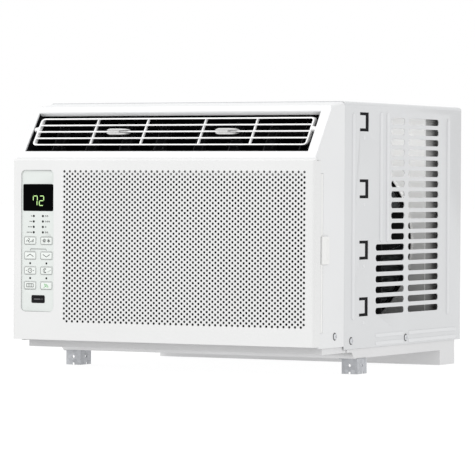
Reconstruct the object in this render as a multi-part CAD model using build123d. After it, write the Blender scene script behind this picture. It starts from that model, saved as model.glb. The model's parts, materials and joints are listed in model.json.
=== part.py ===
from build123d import *
import math
import os

# Window air conditioner, in millimetres. X runs to the right as seen from the room, Y runs from
# the room side to the outdoor side and Z is up. The sub-parts are drawn with Y = 0 on the front
# panel's face and Z = 0 on its lower edge, and save() moves each of them so that the origin lies
# at the centre of the footprint, on the surface that the unit stands on.

# Overall sizes
PANEL_W = 470.0          # front panel's width
PANEL_H = 249.0          # front panel's height up to the foot of the slope
PANEL_DEPTH = 20.0       # front panel's side wall, front to back
PANEL_OVERHANG = 2.75    # how far the panel stands past the cabinet on each side
CABINET_W = PANEL_W - 2 * PANEL_OVERHANG   # metal cabinet and plastic housing, outside
CABINET_FRONT = 97.0     # where the metal cabinet starts
DEPTH = 483.0            # front face to the cabinet's rear edge
CABINET_TOP = 330.5
CABINET_BOTTOM = -7.0
FOOT = 42.0              # from the panel's lower edge down to the surface

# Walls and clearances
PLASTIC = 2.5            # moulded wall
SHEET = 1.0              # cabinet sheet metal
PAN_SHEET = 1.2          # base pan sheet metal
GAP = 0.3                # between pieces that move past each other
RUNNING = 0.05           # radial clearance of a shaft in its bore
SEAM = 0.25              # between shells that slide into each other

# Slope above the front panel, in Y and Z
SLOPE_FOOT = (7.5, 252.6)
SLOPE_HEAD = (58.5, 324.1)
HOUSING_REAR_TOP = 329.5

# Discharge opening and louvres, measured up the slope from its foot
MOUTH_LEFT = -CABINET_W / 2 + 8.25
MOUTH_RIGHT = CABINET_W / 2 - 14.25
MOUTH_LOW = 11.2
FOOT_TURN = 0.81          # where the inner wall turns at the slope's foot
MOUTH_HIGH = 78.3
DUCT_WALL = 2.0
DUCT_FLOOR_DEPTH = 44.0  # how far the duct's floor follows the slope's normal
BLADE_COUNT = 5
BLADE_FIRST = 23.2
BLADE_PITCH = 11.1
BLADE_CHORD = 12.0
BLADE_T = 2.0
LOUVRE_SIDE_GAP = 6.5    # between the mouth's side and the louvre frame
LOUVRE_LEFT = MOUTH_LEFT + LOUVRE_SIDE_GAP
LOUVRE_RIGHT = MOUTH_RIGHT - LOUVRE_SIDE_GAP
LOUVRE_BAR = 3.5
STRUT_T = 2.4
STRUT_X = (-125.5, -46.0, 44.3, 123.8)
LOUVRE_PIVOT = (51.5, 5.0)   # up the slope, and in from it
LOUVRE_PIN_R = 2.0

# Upright vanes behind the louvres
VANE_PITCH = 54.0
TAB_X = (-86.5, 84.0)        # the thumb tabs, each in line with a vane
VANE_LOW = 16.0
VANE_HIGH = 74.0
VANE_FRONT = 19.0
VANE_PIVOT = 38.0
VANE_REAR = 48.0
VANE_T = 1.5
VANE_PIN_R = 1.5
CRANK_ARM = 8.0
CRANK_R = 1.0
LINK_T = 2.0
RAIL_LOW = 78.2
TAB_W = 31.0
TAB_PLATE = 3.4
TAB_FORK_DEPTH = 21.5        # how far in the tab's fork reaches
TAB_SWING = 25.0             # degrees that a vane turns each way

# Control strip, near the panel's left edge
STRIP_INSET = 14.0
STRIP_W = 52.0
STRIP_X = (-PANEL_W / 2 + STRIP_INSET, -PANEL_W / 2 + STRIP_INSET + STRIP_W)
STRIP_Z = (39.0, 235.3)
STRIP_R = 6.0
STRIP_RECESS = 1.6
STRIP_T = 2.4
WINDOW_X = (STRIP_X[0] + 2.0, STRIP_X[1] - 1.0)
WINDOW_Z = (178.5, 216.0)
DIGIT_W = 8.4
DIGIT_H = 15.0
DIGIT_X = (STRIP_X[0] + 20.7, STRIP_X[0] + 33.0)
DIGIT_Z = 192.9
SEGMENT = 1.8
LED_X = (STRIP_X[0] + 19.4, STRIP_X[0] + 34.2)
LED_Z = (149.0, 156.5, 164.0, 171.6)
LED_R = 1.1
BUTTON_X = (STRIP_X[0] + 13.8, STRIP_X[0] + 40.2)
BUTTON_Z = (137.4, 116.7, 95.8, 75.1)
BUTTON_W = 19.6
BUTTON_H = 11.2
POWER_BUTTON = (STRIP_X[0] + 26.9, 56.15, 21.2, 10.5)
BUTTON_TRAVEL = 0.7
BUTTON_PROUD = 0.4
BOARD_Y = 9.0
BOARD_T = 1.6

# Perforated screen: staggered rows of round holes, between the strip and the panel's right edge
HOLE_PITCH_X = 17.28
HOLE_PITCH_Z = 7.02
HOLE_R = 3.3
FIELD_X = (STRIP_X[1] + 17.5, PANEL_W / 2 - 14.9)
FIELD_Z = (26.6, 233.7)
SCREEN_MARGIN = 4.4

# Air filter
FILTER_X = (STRIP_X[1] + 17.0, CABINET_W / 2 - 2.75)
FILTER_Y = (26.0, 32.0)
FILTER_Z = (18.5, 231.5)
FILTER_BAR = 8.0
TAB_Y = (25.0, 47.5)
TAB_Z = (110.0, 148.0)
TAB_T = 2.2

# Base pan: shallow in front, deeper in the middle, deepest under the condenser
PAN_REAR_GAP = 17.0          # from the pan to the cabinet's rear edge
PAN_Y = (36.0, DEPTH - PAN_REAR_GAP)
PAN_TOP = 18.0
PAN_FRONT_Z = -11.5
PAN_MID_Z = -20.5
PAN_STEP = (124.0, 132.0)

# Coils
EVAP_X = (FILTER_X[0] + 2.0, CABINET_W / 2 - 27.25)
EVAP_Y = (44.0, 84.0)
EVAP_Z = (20.0, 226.0)
EVAP_ROWS = (54.0, 74.0)
EVAP_TUBES = 8
EVAP_FIRST = 36.0
EVAP_PITCH = 24.0
EVAP_TUBE_R = 3.5
COND_X = (-CABINET_W / 2 + 27.25, CABINET_W / 2 - 27.25)
COND_T = 34.0
COND_Y = (PAN_Y[1] - 4.0 - COND_T, PAN_Y[1] - 4.0)
COND_Z = (-30.0, 316.0)
SUMP_Y = COND_Y[0] - 13.0
COND_ROWS = (COND_Y[0] + 9.0, COND_Y[0] + 25.0)
COND_TUBES = 12
COND_FIRST = -14.0
COND_PITCH = 28.0
COND_TUBE_R = 4.0
COIL_PLATE = 1.5
STUB = 5.0
LINE_SEAT = 0.05

# Fans and motor
AXLE_X = 60.0
AXLE_Z = 137.0
SHAFT_R = 5.0
BLOWER_R = 100.0
BLOWER_Y = (108.0, 205.0)
BLOWER_BLADES = 28
FAN_R = 134.0
SHROUD_Y = (COND_Y[0] - 48.0, COND_Y[0] - 45.5)
FAN_Y = (SHROUD_Y[0] + 4.0, SHROUD_Y[0] + 18.0)
SHAFT_Y = (190.0, FAN_Y[1] + 8.0)
FAN_BLADES = 5
SHROUD_HOLE_R = FAN_R + 6.0
SHROUD_X = (-CABINET_W / 2 + 34.25, CABINET_W / 2 - 10.25)
MOTOR_R = 46.0
MOTOR_Y = (235.0, 315.0)
SCROLL_R = 118.0
SCROLL_WALL = 4.0
SCROLL_FRONT = 98.5
INLET_R = 78.0
CHANNEL_Z = (240.0, 325.0)
BULKHEAD_Y = (222.0, 225.0)

# Compressor
COMP_AT = (-CABINET_W / 2 + 102.25, 305.0)
COMP_R = 52.0
COMP_TOP = 200.0
FOOT_PLATE_Z = (-7.0, -4.0)
FOOT_RING = 62.0
GROMMET_R = 9.0
STUD_R = 3.0
ACC_AT = (-CABINET_W / 2 + 27.25, 290.0)
ACC_R = 20.0
ACC_Z = (20.0, 170.0)

# Sill brackets under the pan
BRACKET_W = 24.0
BRACKET_DEPTH = 30.0
BRACKET_SHEET = 1.5
BRACKET_FRONT = 140.0
BRACKET_LIP = 4.0
BRACKET_RIGHT_X = CABINET_W / 2 - 24.25
BRACKET_LEFT_X = -CABINET_W / 2 + 1.25
BRACKET_HOLE_R = 2.0
SCREW_R = 2.0

# Cabinet openings, in Y and Z
LOUVER_ROWS = 19
LOUVER_PITCH = 14.66
LOUVER_TOP = 306.5
LOUVER_H = 9.0
LOUVER_REAR = (301.5, DEPTH - 79.0)
LOUVER_UPPER = (245.4, 289.0)
LOUVER_LOWER = (196.0, 288.5)
UPPER_ROWS = 12
CLIP_TOPS = (316.4, 224.7, 140.7, 62.9)
CLIP_H = 26.0
CLIP_Y = (144.0, 162.0, 172.0)
CLIP_LEG = 4.0
REAR_OPENING = (CABINET_W / 2 - 24.25, 8.0, 316.0)
CABINET_SCREWS = ((119.4, 4.5), (295.0, 2.7))
HOUSING_SCREW = (69.0, 12.3)
GLAND_AT = (60.0, 30.0)
GLAND_R = 7.0            # the bush in its hole
GLAND_BORE_R = 4.0

# Control box behind the strip
BOX_X = (-CABINET_W / 2 + 6.25, -CABINET_W / 2 + 56.25)
BOX_Y = (40.0, 92.0)
BOX_TOP = 228.0
BOX_WALL = 1.5

CABINET_IN = CABINET_W / 2 - SHEET
HOUSING_IN = CABINET_W / 2 - PLASTIC
PAN_HALF = CABINET_IN - SEAM
PAN_FRONT_FLOOR = PAN_FRONT_Z + PAN_SHEET
PAN_MID_FLOOR = PAN_MID_Z + PAN_SHEET
SUMP_FLOOR = -FOOT + PAN_SHEET

slope_len = math.hypot(SLOPE_HEAD[0] - SLOPE_FOOT[0], SLOPE_HEAD[1] - SLOPE_FOOT[1])
UP = ((SLOPE_HEAD[0] - SLOPE_FOOT[0]) / slope_len, (SLOPE_HEAD[1] - SLOPE_FOOT[1]) / slope_len)
INWARD = (UP[1], -UP[0])


def on_slope(up, depth):
    """Y and Z of a point so far up the slope and so deep behind it."""
    return (
        SLOPE_FOOT[0] + up * UP[0] + depth * INWARD[0],
        SLOPE_FOOT[1] + up * UP[1] + depth * INWARD[1],
    )


def block(x, y, z):
    """A box between two values on each axis."""
    centre = Pos((x[0] + x[1]) / 2, (y[0] + y[1]) / 2, (z[0] + z[1]) / 2)
    return centre * Box(x[1] - x[0], y[1] - y[0], z[1] - z[0])


def rod_x(y, z, radius, x):
    return Plane((x[0], y, z), x_dir=(0, 1, 0), z_dir=(1, 0, 0)) * Cylinder(
        radius, x[1] - x[0], align=(Align.CENTER, Align.CENTER, Align.MIN)
    )


def rod_y(x, z, radius, y):
    return Plane((x, y[0], z), x_dir=(1, 0, 0), z_dir=(0, 1, 0)) * Cylinder(
        radius, y[1] - y[0], align=(Align.CENTER, Align.CENTER, Align.MIN)
    )


def rod_z(x, y, radius, z):
    return Pos(x, y, z[0]) * Cylinder(
        radius, z[1] - z[0], align=(Align.CENTER, Align.CENTER, Align.MIN)
    )


def side_prism(points, x):
    """A side outline in Y and Z, carried along X."""
    face = make_face(Polyline(*[(y, z) for y, z in points], close=True))
    return Pos(x[0], 0, 0) * extrude(Plane.YZ * face, x[1] - x[0])


def front_plate(x, z, y, radius):
    """A rounded rectangle seen from the front, carried along Y."""
    outline = Pos((x[0] + x[1]) / 2, (z[0] + z[1]) / 2) * RectangleRounded(
        x[1] - x[0], z[1] - z[0], radius
    )
    return Pos(0, y[0], 0) * extrude(Plane.XZ * outline, y[1] - y[0], dir=(0, 1, 0))


def slope_plane(x, depth, up=0.0):
    """A plane across the slope's normal, whose Z runs up the slope."""
    y, z = on_slope(up, depth)
    return Plane((x, y, z), x_dir=(1, 0, 0), z_dir=(0, UP[0], UP[1]))


def slope_block(x, up, depth):
    """A box square to the slope."""
    points = [
        on_slope(up[0], depth[0]),
        on_slope(up[1], depth[0]),
        on_slope(up[1], depth[1]),
        on_slope(up[0], depth[1]),
    ]
    return side_prism(points, x)


def slope_rod(x, depth, radius, up):
    """A rod whose axis runs up the slope."""
    return slope_plane(x, depth, up[0]) * Cylinder(
        radius, up[1] - up[0], align=(Align.CENTER, Align.CENTER, Align.MIN)
    )


def both_sides(shape):
    return [shape, mirror(shape, about=Plane.YZ)]


def save(name, shape):
    solids = shape.solids() if hasattr(shape, "solids") else [s for part in shape for s in part.solids()]
    moved = [Pos(0, -DEPTH / 2, FOOT) * solid for solid in solids]
    export_step(moved[0] if len(moved) == 1 else Compound(children=moved), f"parts/{name}.step")


# Front panel, its perforated screen and the housing behind it


def front_panel():
    half = PANEL_W / 2
    ledge = SLOPE_FOOT[0] - GAP
    outline = [
        (0, 0),
        (0, PANEL_H),
        (ledge, SLOPE_FOOT[1] - GAP),
        (ledge, PANEL_H),
        (PANEL_DEPTH, PANEL_H),
        (PANEL_DEPTH, 0),
    ]
    shell = side_prism(outline, (-half, half))
    corners = [e for e in shell.edges().filter_by(Axis.Z) if abs(e.center().Y) < 0.1]
    shell = fillet(corners, 4.0)
    shell -= block(
        (-half + PLASTIC, half - PLASTIC),
        (PLASTIC, PANEL_DEPTH + 1),
        (PLASTIC, PANEL_H - PLASTIC),
    )
    shell -= block(
        (FIELD_X[0] - SCREEN_MARGIN, FIELD_X[1] + SCREEN_MARGIN),
        (-1, PLASTIC + 1),
        (FIELD_Z[0] - SCREEN_MARGIN, FIELD_Z[1] + SCREEN_MARGIN),
    )
    return shell - front_plate(
        (STRIP_X[0] - SEAM, STRIP_X[1] + SEAM),
        (STRIP_Z[0] - SEAM, STRIP_Z[1] + SEAM),
        (-1, PLASTIC + 1),
        STRIP_R + SEAM,
    )


def panel_screen():
    width = FIELD_X[1] - FIELD_X[0] + 2 * SCREEN_MARGIN
    height = FIELD_Z[1] - FIELD_Z[0] + 2 * SCREEN_MARGIN
    centre = Pos((FIELD_X[0] + FIELD_X[1]) / 2, (FIELD_Z[0] + FIELD_Z[1]) / 2)
    columns = int((FIELD_X[1] - FIELD_X[0]) / HOLE_PITCH_X)
    rows = int((FIELD_Z[1] - FIELD_Z[0]) / HOLE_PITCH_Z)
    holes = []
    for row in range(rows):
        z = (row - (rows - 1) / 2) * HOLE_PITCH_Z
        shift = HOLE_PITCH_X / 4 * (1 if row % 2 else -1)
        for column in range(columns):
            x = (column - (columns - 1) / 2) * HOLE_PITCH_X + shift
            holes.append(Wire.make_circle(HOLE_R, Plane((x, z, 0))))
    plate = Face(Wire.make_rect(width, height), holes)
    solid = extrude(Plane.XZ * centre * plate, PLASTIC, dir=(0, 1, 0))
    return solid


def housing_outline():
    return [
        (PANEL_DEPTH + GAP, -PLASTIC),
        (PANEL_DEPTH + GAP, PANEL_H + GAP),
        (SLOPE_FOOT[0], PANEL_H + GAP),
        SLOPE_FOOT,
        SLOPE_HEAD,
        (CABINET_FRONT, HOUSING_REAR_TOP),
        (CABINET_FRONT, -PLASTIC),
    ]


def housing_cavity():
    sill = PANEL_H + GAP
    roof = HOUSING_REAR_TOP - PLASTIC
    roof_slope = (HOUSING_REAR_TOP - SLOPE_HEAD[1]) / (CABINET_FRONT - SLOPE_HEAD[0])
    head = on_slope(slope_len - PLASTIC * 0.6, PLASTIC)
    return [
        (PANEL_DEPTH - 1, -PLASTIC - 5),
        (PANEL_DEPTH - 1, sill),
        (PANEL_DEPTH + PLASTIC, sill),
        (PANEL_DEPTH + PLASTIC, sill + PLASTIC),
        on_slope(FOOT_TURN, PLASTIC),
        head,
        (CABINET_FRONT + 1, roof + roof_slope),
        (CABINET_FRONT + 1, -PLASTIC - 5),
    ]


def filter_rail(z_shelf, z_lip):
    """A shelf with a lip each side of the filter, from side wall to side wall."""
    x = (-HOUSING_IN, HOUSING_IN)
    front, rear = FILTER_Y[0] - GAP, FILTER_Y[1] + GAP
    rail = block(x, (front - 2, rear + 2), z_shelf)
    rail += block(x, (front - 2, front), z_lip)
    return rail + block(x, (rear, rear + 2), z_lip)


def front_housing():
    half = CABINET_W / 2
    shell = side_prism(housing_outline(), (-half, half))
    roof_mid = (SLOPE_HEAD[0] + CABINET_FRONT) / 2
    roof_edges = [
        e
        for e in shell.edges()
        if abs(abs(e.center().X) - half) < 0.1 and abs(e.center().Y - roof_mid) < 0.5 and e.center().Z > SLOPE_HEAD[1] - 1
    ]
    shell = fillet(roof_edges, 6.0)
    shell -= side_prism(housing_cavity(), (-HOUSING_IN, HOUSING_IN))
    shell -= slope_block((MOUTH_LEFT, MOUTH_RIGHT), (MOUTH_LOW, MOUTH_HIGH), (-5, PLASTIC + 1.5))
    low, high = FILTER_Z[0] - GAP, FILTER_Z[1] + GAP
    shell += filter_rail((low - 3, low), (low - 3, low + 4))
    shell += filter_rail((high, high + 3), (high - 4, high + 3))
    slot = block((HOUSING_IN - 1, half + 1), (FILTER_Y[0] - GAP, FILTER_Y[1] + GAP), (low, high))
    shell -= slot
    lip_half = CABINET_IN - SEAM
    lip_top = CABINET_TOP - SHEET - SEAM
    lip_y = (CABINET_FRONT - 3, CABINET_FRONT + 10)
    lip = front_plate((-lip_half, lip_half), (-60, lip_top), lip_y, 5.0)
    lip -= front_plate(
        (-HOUSING_IN, HOUSING_IN), (-61, HOUSING_REAR_TOP - PLASTIC), (lip_y[0] - 1, lip_y[1] + 1), 4.0
    )
    lip -= block((-half, half), (lip_y[0] - 1, lip_y[1] + 1), (-70, PAN_TOP + 1))
    shell += lip
    y, z = HOUSING_SCREW
    shell -= rod_x(y, z, SCREW_R + RUNNING, (-half - 1, half + 1))
    shell -= rod_x(GLAND_AT[0], GLAND_AT[1], GLAND_R, (-half - 1, -HOUSING_IN + 1))
    return housing_plates(shell)


def housing_plates(shell):
    """The moulding's plates, which meet face to face: side walls, rails, the strips round the mouth and the lip."""
    far = PANEL_W
    depth, height = (-far, far), (-far, far)
    inner = (-HOUSING_IN, HOUSING_IN)
    front, rear = (-far, CABINET_FRONT), (CABINET_FRONT, far)
    rail_low, rail_high = FILTER_Z[0] + 6, FILTER_Z[1] - 6
    low_y, low_z = on_slope((MOUTH_LOW + MOUTH_HIGH) / 2, 0)
    across = [(low_y - far * INWARD[0], low_z - far * INWARD[1]), (low_y + far * INWARD[0], low_z + far * INWARD[1])]
    below = side_prism([*across, (across[1][0], -far), (across[0][0], -far)], (-far, far))
    above = side_prism([*across, (across[1][0], far + low_z), (across[0][0], far + low_z)], (-far, far))
    mouth = (MOUTH_LEFT, MOUTH_RIGHT)
    strips = [(-HOUSING_IN, MOUTH_LEFT), (MOUTH_RIGHT, HOUSING_IN)]
    zones = [
        block((-far, -HOUSING_IN), front, height),
        block((HOUSING_IN, far), front, height),
        block(inner, front, (-far, rail_low)),
        block((-far, -HOUSING_IN), rear, height),
        block((HOUSING_IN, far), rear, height),
        block(inner, rear, height),
        block(inner, front, (rail_high - 8, PANEL_H - 8)),
        block(mouth, front, (PANEL_H - 8, far)) & below,
        block(mouth, front, (PANEL_H - 8, far)) & above,
    ]
    zones += [block(strip, front, (PANEL_H - 8, far)) for strip in strips]
    return [solid for zone in zones for solid in (shell & zone).solids()]


def cord_gland():
    """A rubber bush through the housing's left wall."""
    half = CABINET_W / 2
    y, z = GLAND_AT
    bush = rod_x(y, z, GLAND_R, (-half, -HOUSING_IN))
    bush += rod_x(y, z, 9.5, (-half - 2.2, -half))
    bush += rod_x(y, z, 9.0, (-HOUSING_IN, -HOUSING_IN + 2))
    return bush - rod_x(y, z, GLAND_BORE_R, (-half - 3, -HOUSING_IN + 3))


# Control strip


def button_places():
    """Name, centre and size of each button."""
    names = (
        ("fan_speed", "mode"),
        ("up", "down"),
        ("timer", "sleep"),
        ("filter", "eco"),
    )
    places = []
    for row, z in zip(names, BUTTON_Z):
        for name, x in zip(row, BUTTON_X):
            places.append((name, x, z, BUTTON_W, BUTTON_H))
    places.append(("power", *POWER_BUTTON))
    return places


def spans(x, z, width, height, grow=0.0):
    """The X and Z spans of a rectangle about a centre."""
    return (
        (x - width / 2 - grow, x + width / 2 + grow),
        (z - height / 2 - grow, z + height / 2 + grow),
    )


def control_bezel():
    front = STRIP_RECESS
    back = STRIP_RECESS + STRIP_T
    plate = front_plate(STRIP_X, STRIP_Z, (front, back), STRIP_R)
    flange_x = (STRIP_X[0] - 3, STRIP_X[1] + 3)
    flange_z = (STRIP_Z[0] - 3, STRIP_Z[1] + 3)
    plate += front_plate(flange_x, flange_z, (PLASTIC, back), STRIP_R + 3)
    for x in (STRIP_X[0] + 6, STRIP_X[1] - 6):
        for z in (STRIP_Z[0] + 5, STRIP_Z[1] - 9):
            plate += rod_y(x, z, 2.5, (back - 0.5, BOARD_Y))
    plate -= front_plate(
        (WINDOW_X[0], WINDOW_X[1]), (WINDOW_Z[0], WINDOW_Z[1]), (front - 1, back + 1), 2.0
    )
    for x in LED_X:
        for z in LED_Z:
            plate -= rod_y(x, z, LED_R + RUNNING, (front - 1, back + 1))
    for _, x, z, width, height in button_places():
        hole_x, hole_z = spans(x, z, width, height, GAP)
        plate -= front_plate(hole_x, hole_z, (front - 1, back + 1), 2.0)
    return plate


def display_lens():
    return front_plate(
        (WINDOW_X[0] + LINE_SEAT, WINDOW_X[1] - LINE_SEAT),
        (WINDOW_Z[0] + LINE_SEAT, WINDOW_Z[1] - LINE_SEAT),
        (STRIP_RECESS, STRIP_RECESS + STRIP_T),
        2.0,
    )


def display_board():
    board = block(
        (STRIP_X[0] + 2, STRIP_X[1] - 2), (BOARD_Y, BOARD_Y + BOARD_T), (STRIP_Z[0] + 2, STRIP_Z[1] - 4)
    )
    module_x = (WINDOW_X[0] + 3, WINDOW_X[1] - 3)
    module_z = (WINDOW_Z[0] + 3, WINDOW_Z[1] - 3)
    board += block(module_x, (STRIP_RECESS + STRIP_T + 1, BOARD_Y), module_z)
    switch_front = STRIP_RECESS + STRIP_T + 3.2
    for _, x, z, _, _ in button_places():
        board += block((x - 3, x + 3), (switch_front, BOARD_Y), (z - 3, z + 3))
    return board


def display_digits():
    """Two seven-segment digits that read 72."""
    lit = {7: "abc", 2: "abged"}
    half_w, half_h = (DIGIT_W - SEGMENT) / 2, (DIGIT_H - SEGMENT) / 2
    bar_w, bar_h = DIGIT_W - 2.2 * SEGMENT, (DIGIT_H - 3.4 * SEGMENT) / 2
    places = {
        "a": (0, half_h, bar_w, SEGMENT),
        "g": (0, 0, bar_w, SEGMENT),
        "d": (0, -half_h, bar_w, SEGMENT),
        "b": (half_w, half_h / 2, SEGMENT, bar_h),
        "c": (half_w, -half_h / 2, SEGMENT, bar_h),
        "e": (-half_w, -half_h / 2, SEGMENT, bar_h),
    }
    front = STRIP_RECESS + STRIP_T + LINE_SEAT
    bars = []
    for number, x in zip((7, 2), DIGIT_X):
        for letter in lit[number]:
            dx, dz, width, height = places[letter]
            bar_x, bar_z = spans(x + dx, DIGIT_Z + dz, width, height)
            bars.append(block(bar_x, (front, STRIP_RECESS + STRIP_T + 1), bar_z))
    return bars


def indicator_leds():
    return [rod_y(x, z, LED_R, (STRIP_RECESS, BOARD_Y)) for x in LED_X for z in LED_Z]


def button(x, z, width, height):
    """A cap with a retaining flange behind the strip and a stem over its switch."""
    back = STRIP_RECESS + STRIP_T
    cap_x, cap_z = spans(x, z, width, height)
    flange_x, flange_z = spans(x, z, width, height, GAP + 0.8)
    shape = front_plate(cap_x, cap_z, (STRIP_RECESS - BUTTON_PROUD, back + GAP + 0.5), 1.7)
    shape += front_plate(flange_x, flange_z, (back + GAP, back + GAP + 0.9), 2.2)
    stem_end = back + 3.2 - BUTTON_TRAVEL - GAP
    return shape + block((x - 2, x + 2), (back + GAP, stem_end), (z - 2, z + 2))


# Discharge duct, louvres and vanes


def duct_outline(inset, front, rear):
    """The duct's side outline: floor along the slope's normal, then level, and a rising roof."""
    low, high = MOUTH_LOW - DUCT_WALL + inset, MOUTH_HIGH + DUCT_WALL - inset
    bend = on_slope(low, DUCT_FLOOR_DEPTH)
    roof_front = on_slope(high, front)
    return [
        on_slope(low, front),
        roof_front,
        (rear, CHANNEL_Z[1] - 3.5 - inset),
        (rear, bend[1]),
        bend,
    ]


def discharge_duct():
    x = (MOUTH_LEFT - DUCT_WALL, MOUTH_RIGHT + DUCT_WALL)
    shell = side_prism(duct_outline(0, PLASTIC, CABINET_FRONT + 1), x)
    shell -= side_prism(duct_outline(DUCT_WALL, PLASTIC - 1, CABINET_FRONT + 2), (MOUTH_LEFT, MOUTH_RIGHT))
    rail_depth = (VANE_PIVOT - 5, VANE_PIVOT + 3)
    shell += slope_block((MOUTH_LEFT, MOUTH_RIGHT), (RAIL_LOW, RAIL_LOW + 3), rail_depth)
    y, z = on_slope(*LOUVRE_PIVOT)
    shell -= rod_x(y, z, LOUVRE_PIN_R + RUNNING, (x[0] - 1, x[1] + 1))
    for at in vane_places():
        shell -= slope_rod(at, VANE_PIVOT, VANE_PIN_R + RUNNING, (MOUTH_LOW - DUCT_WALL - 1, VANE_LOW))
        shell -= slope_rod(at, VANE_PIVOT, VANE_PIN_R + RUNNING, (VANE_HIGH, RAIL_LOW + 4))
    return shell


def louvre_frame():
    """Five blades, two side bars and four struts in one moulding, with a pin at each end."""
    frame = None
    high = BLADE_FIRST + BLADE_PITCH * (BLADE_COUNT - 1)
    for number in range(BLADE_COUNT):
        y, z = on_slope(BLADE_FIRST + number * BLADE_PITCH, 1.0)
        section = [
            (y, z - BLADE_T / 2),
            (y, z + BLADE_T / 2),
            (y + BLADE_CHORD, z + BLADE_T / 3),
            (y + BLADE_CHORD, z - BLADE_T / 3),
        ]
        blade = side_prism(section, (LOUVRE_LEFT, LOUVRE_RIGHT))
        frame = blade if frame is None else frame + blade
    low_y, low_z = on_slope(BLADE_FIRST, 1.0)
    top_y, top_z = on_slope(high, 1.0)

    def upright(x, chord, overhang):
        return side_prism(
            [
                (low_y, low_z - overhang),
                (top_y, top_z + overhang),
                (top_y + chord, top_z + overhang),
                (low_y + chord, low_z - overhang),
            ],
            x,
        )

    for x in STRUT_X:
        frame += upright((x - STRUT_T / 2, x + STRUT_T / 2), BLADE_CHORD * 0.5, 0)
    frame += upright((LOUVRE_LEFT, LOUVRE_LEFT + LOUVRE_BAR), BLADE_CHORD * 0.8, BLADE_T / 2)
    frame += upright((LOUVRE_RIGHT - LOUVRE_BAR, LOUVRE_RIGHT), BLADE_CHORD * 0.8, BLADE_T / 2)
    y, z = on_slope(*LOUVRE_PIVOT)
    pin_end = DUCT_WALL * 0.75
    frame += rod_x(y, z, LOUVRE_PIN_R, (MOUTH_LEFT - pin_end, LOUVRE_LEFT + 1))
    frame += rod_x(y, z, LOUVRE_PIN_R, (LOUVRE_RIGHT - 1, MOUTH_RIGHT + pin_end))
    frame += rod_x(y, z, LOUVRE_PIN_R + 1.5, (MOUTH_LEFT + 2, LOUVRE_LEFT + 1))
    return frame + rod_x(y, z, LOUVRE_PIN_R + 1.5, (LOUVRE_RIGHT - 1, MOUTH_RIGHT - 2))


def vane_tab(x):
    """A thumb tab that wraps the middle blade and reaches back with a fork round its vane."""
    y, z = on_slope(BLADE_FIRST + BLADE_PITCH * (BLADE_COUNT // 2), 1.0)
    half = TAB_W / 2
    gap = GAP + BLADE_T / 2
    body = block((x - half, x + half), (y - 4, y + BLADE_CHORD - 2), (z - gap - TAB_PLATE, z + gap + TAB_PLATE))
    body -= block((x - half - 1, x + half + 1), (y - GAP, y + BLADE_CHORD), (z - gap, z + gap))
    body -= side_prism(
        [(y - 5, z + gap + 4.5), (y - 5, z + 0.8), (y - 1, z + gap + 4.5)], (x - half - 1, x + half + 1)
    )
    body -= side_prism(
        [(y - 5, z - gap - 4.5), (y - 5, z - 0.8), (y - 1, z - gap - 4.5)], (x - half - 1, x + half + 1)
    )
    reach_y = y + (TAB_FORK_DEPTH - 1.0) / INWARD[0]
    root_y = y + BLADE_CHORD - 3
    inner = VANE_T / 2 / math.cos(math.radians(TAB_SWING)) + GAP + 1.1
    for side in (-1, 1):
        prong = sorted((x + side * inner, x + side * (inner + 2)))
        body += block(prong, (root_y, reach_y), (z + gap, z + gap + 2.6))
    return body


def vane_places():
    """Four vanes a side, one of each four in line with its thumb tab."""
    left = [TAB_X[0] + VANE_PITCH * n for n in (-2, -1, 0, 1)]
    right = [TAB_X[1] + VANE_PITCH * n for n in (-1, 0, 1, 2)]
    return left + right


def vane(x):
    blade = slope_block((x - VANE_T / 2, x + VANE_T / 2), (VANE_LOW, VANE_HIGH), (VANE_FRONT, VANE_REAR))
    blade += slope_rod(x, VANE_PIVOT, VANE_PIN_R + 0.9, (MOUTH_LOW + GAP, VANE_HIGH + 1))
    blade += slope_rod(x, VANE_PIVOT, VANE_PIN_R, (MOUTH_LOW - 1.2, RAIL_LOW + 2.6))
    crank = VANE_PIVOT + CRANK_ARM
    blade += slope_rod(x, crank, CRANK_R + 0.8, (VANE_HIGH - 4, VANE_HIGH))
    return blade + slope_rod(x, crank, CRANK_R, (VANE_HIGH - 2, VANE_HIGH + GAP + LINK_T + 0.8))


def vane_link(places):
    """A flat bar whose slots sit over the vanes' crank pins."""
    depth = VANE_PIVOT + CRANK_ARM
    up = (VANE_HIGH + GAP, VANE_HIGH + GAP + LINK_T)
    bar = slope_block((places[0] - 6, places[-1] + 6), up, (depth - 4.0, depth + 4.5))
    drop = CRANK_ARM * (1 - math.cos(math.radians(TAB_SWING)))
    half = CRANK_R + GAP + 0.15
    for x in places:
        slot = slope_block((x - half, x + half), (up[0] - 1, up[1] + 1), (depth - half - drop, depth + half))
        bar -= slot
    return bar


# Air filter


def filter_windows():
    """Three by two windows in the filter's frame."""
    columns, rows = 3, 2
    width = (FILTER_X[1] - FILTER_X[0] - FILTER_BAR * (columns + 1)) / columns
    height = (FILTER_Z[1] - FILTER_Z[0] - FILTER_BAR * (rows + 1)) / rows
    for column in range(columns):
        x = FILTER_X[0] + FILTER_BAR + column * (width + FILTER_BAR)
        for row in range(rows):
            z = FILTER_Z[0] + FILTER_BAR + row * (height + FILTER_BAR)
            yield (x, x + width), (z, z + height)


def filter_frame():
    half = CABINET_W / 2
    frame = block((FILTER_X[0], half), FILTER_Y, FILTER_Z)
    for x, z in filter_windows():
        frame -= block(x, (FILTER_Y[0] - 1, FILTER_Y[1] + 1), z)
    frame += block((half - 1, half + GAP + 1), (FILTER_Y[0] + 1, FILTER_Y[1] - 1), (TAB_Z[0] + 2, TAB_Z[1] - 2))
    tab = block((half + GAP, half + GAP + TAB_T), TAB_Y, TAB_Z)
    tab_edges = [e for e in tab.edges() if e.center().X > half + GAP + TAB_T - 0.1]
    return frame + fillet(tab_edges, 1.2)


def filter_mesh():
    mid = (FILTER_Y[0] + FILTER_Y[1]) / 2
    return [block(x, (mid - 0.3, mid + 0.3), z) for x, z in filter_windows()]


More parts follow.
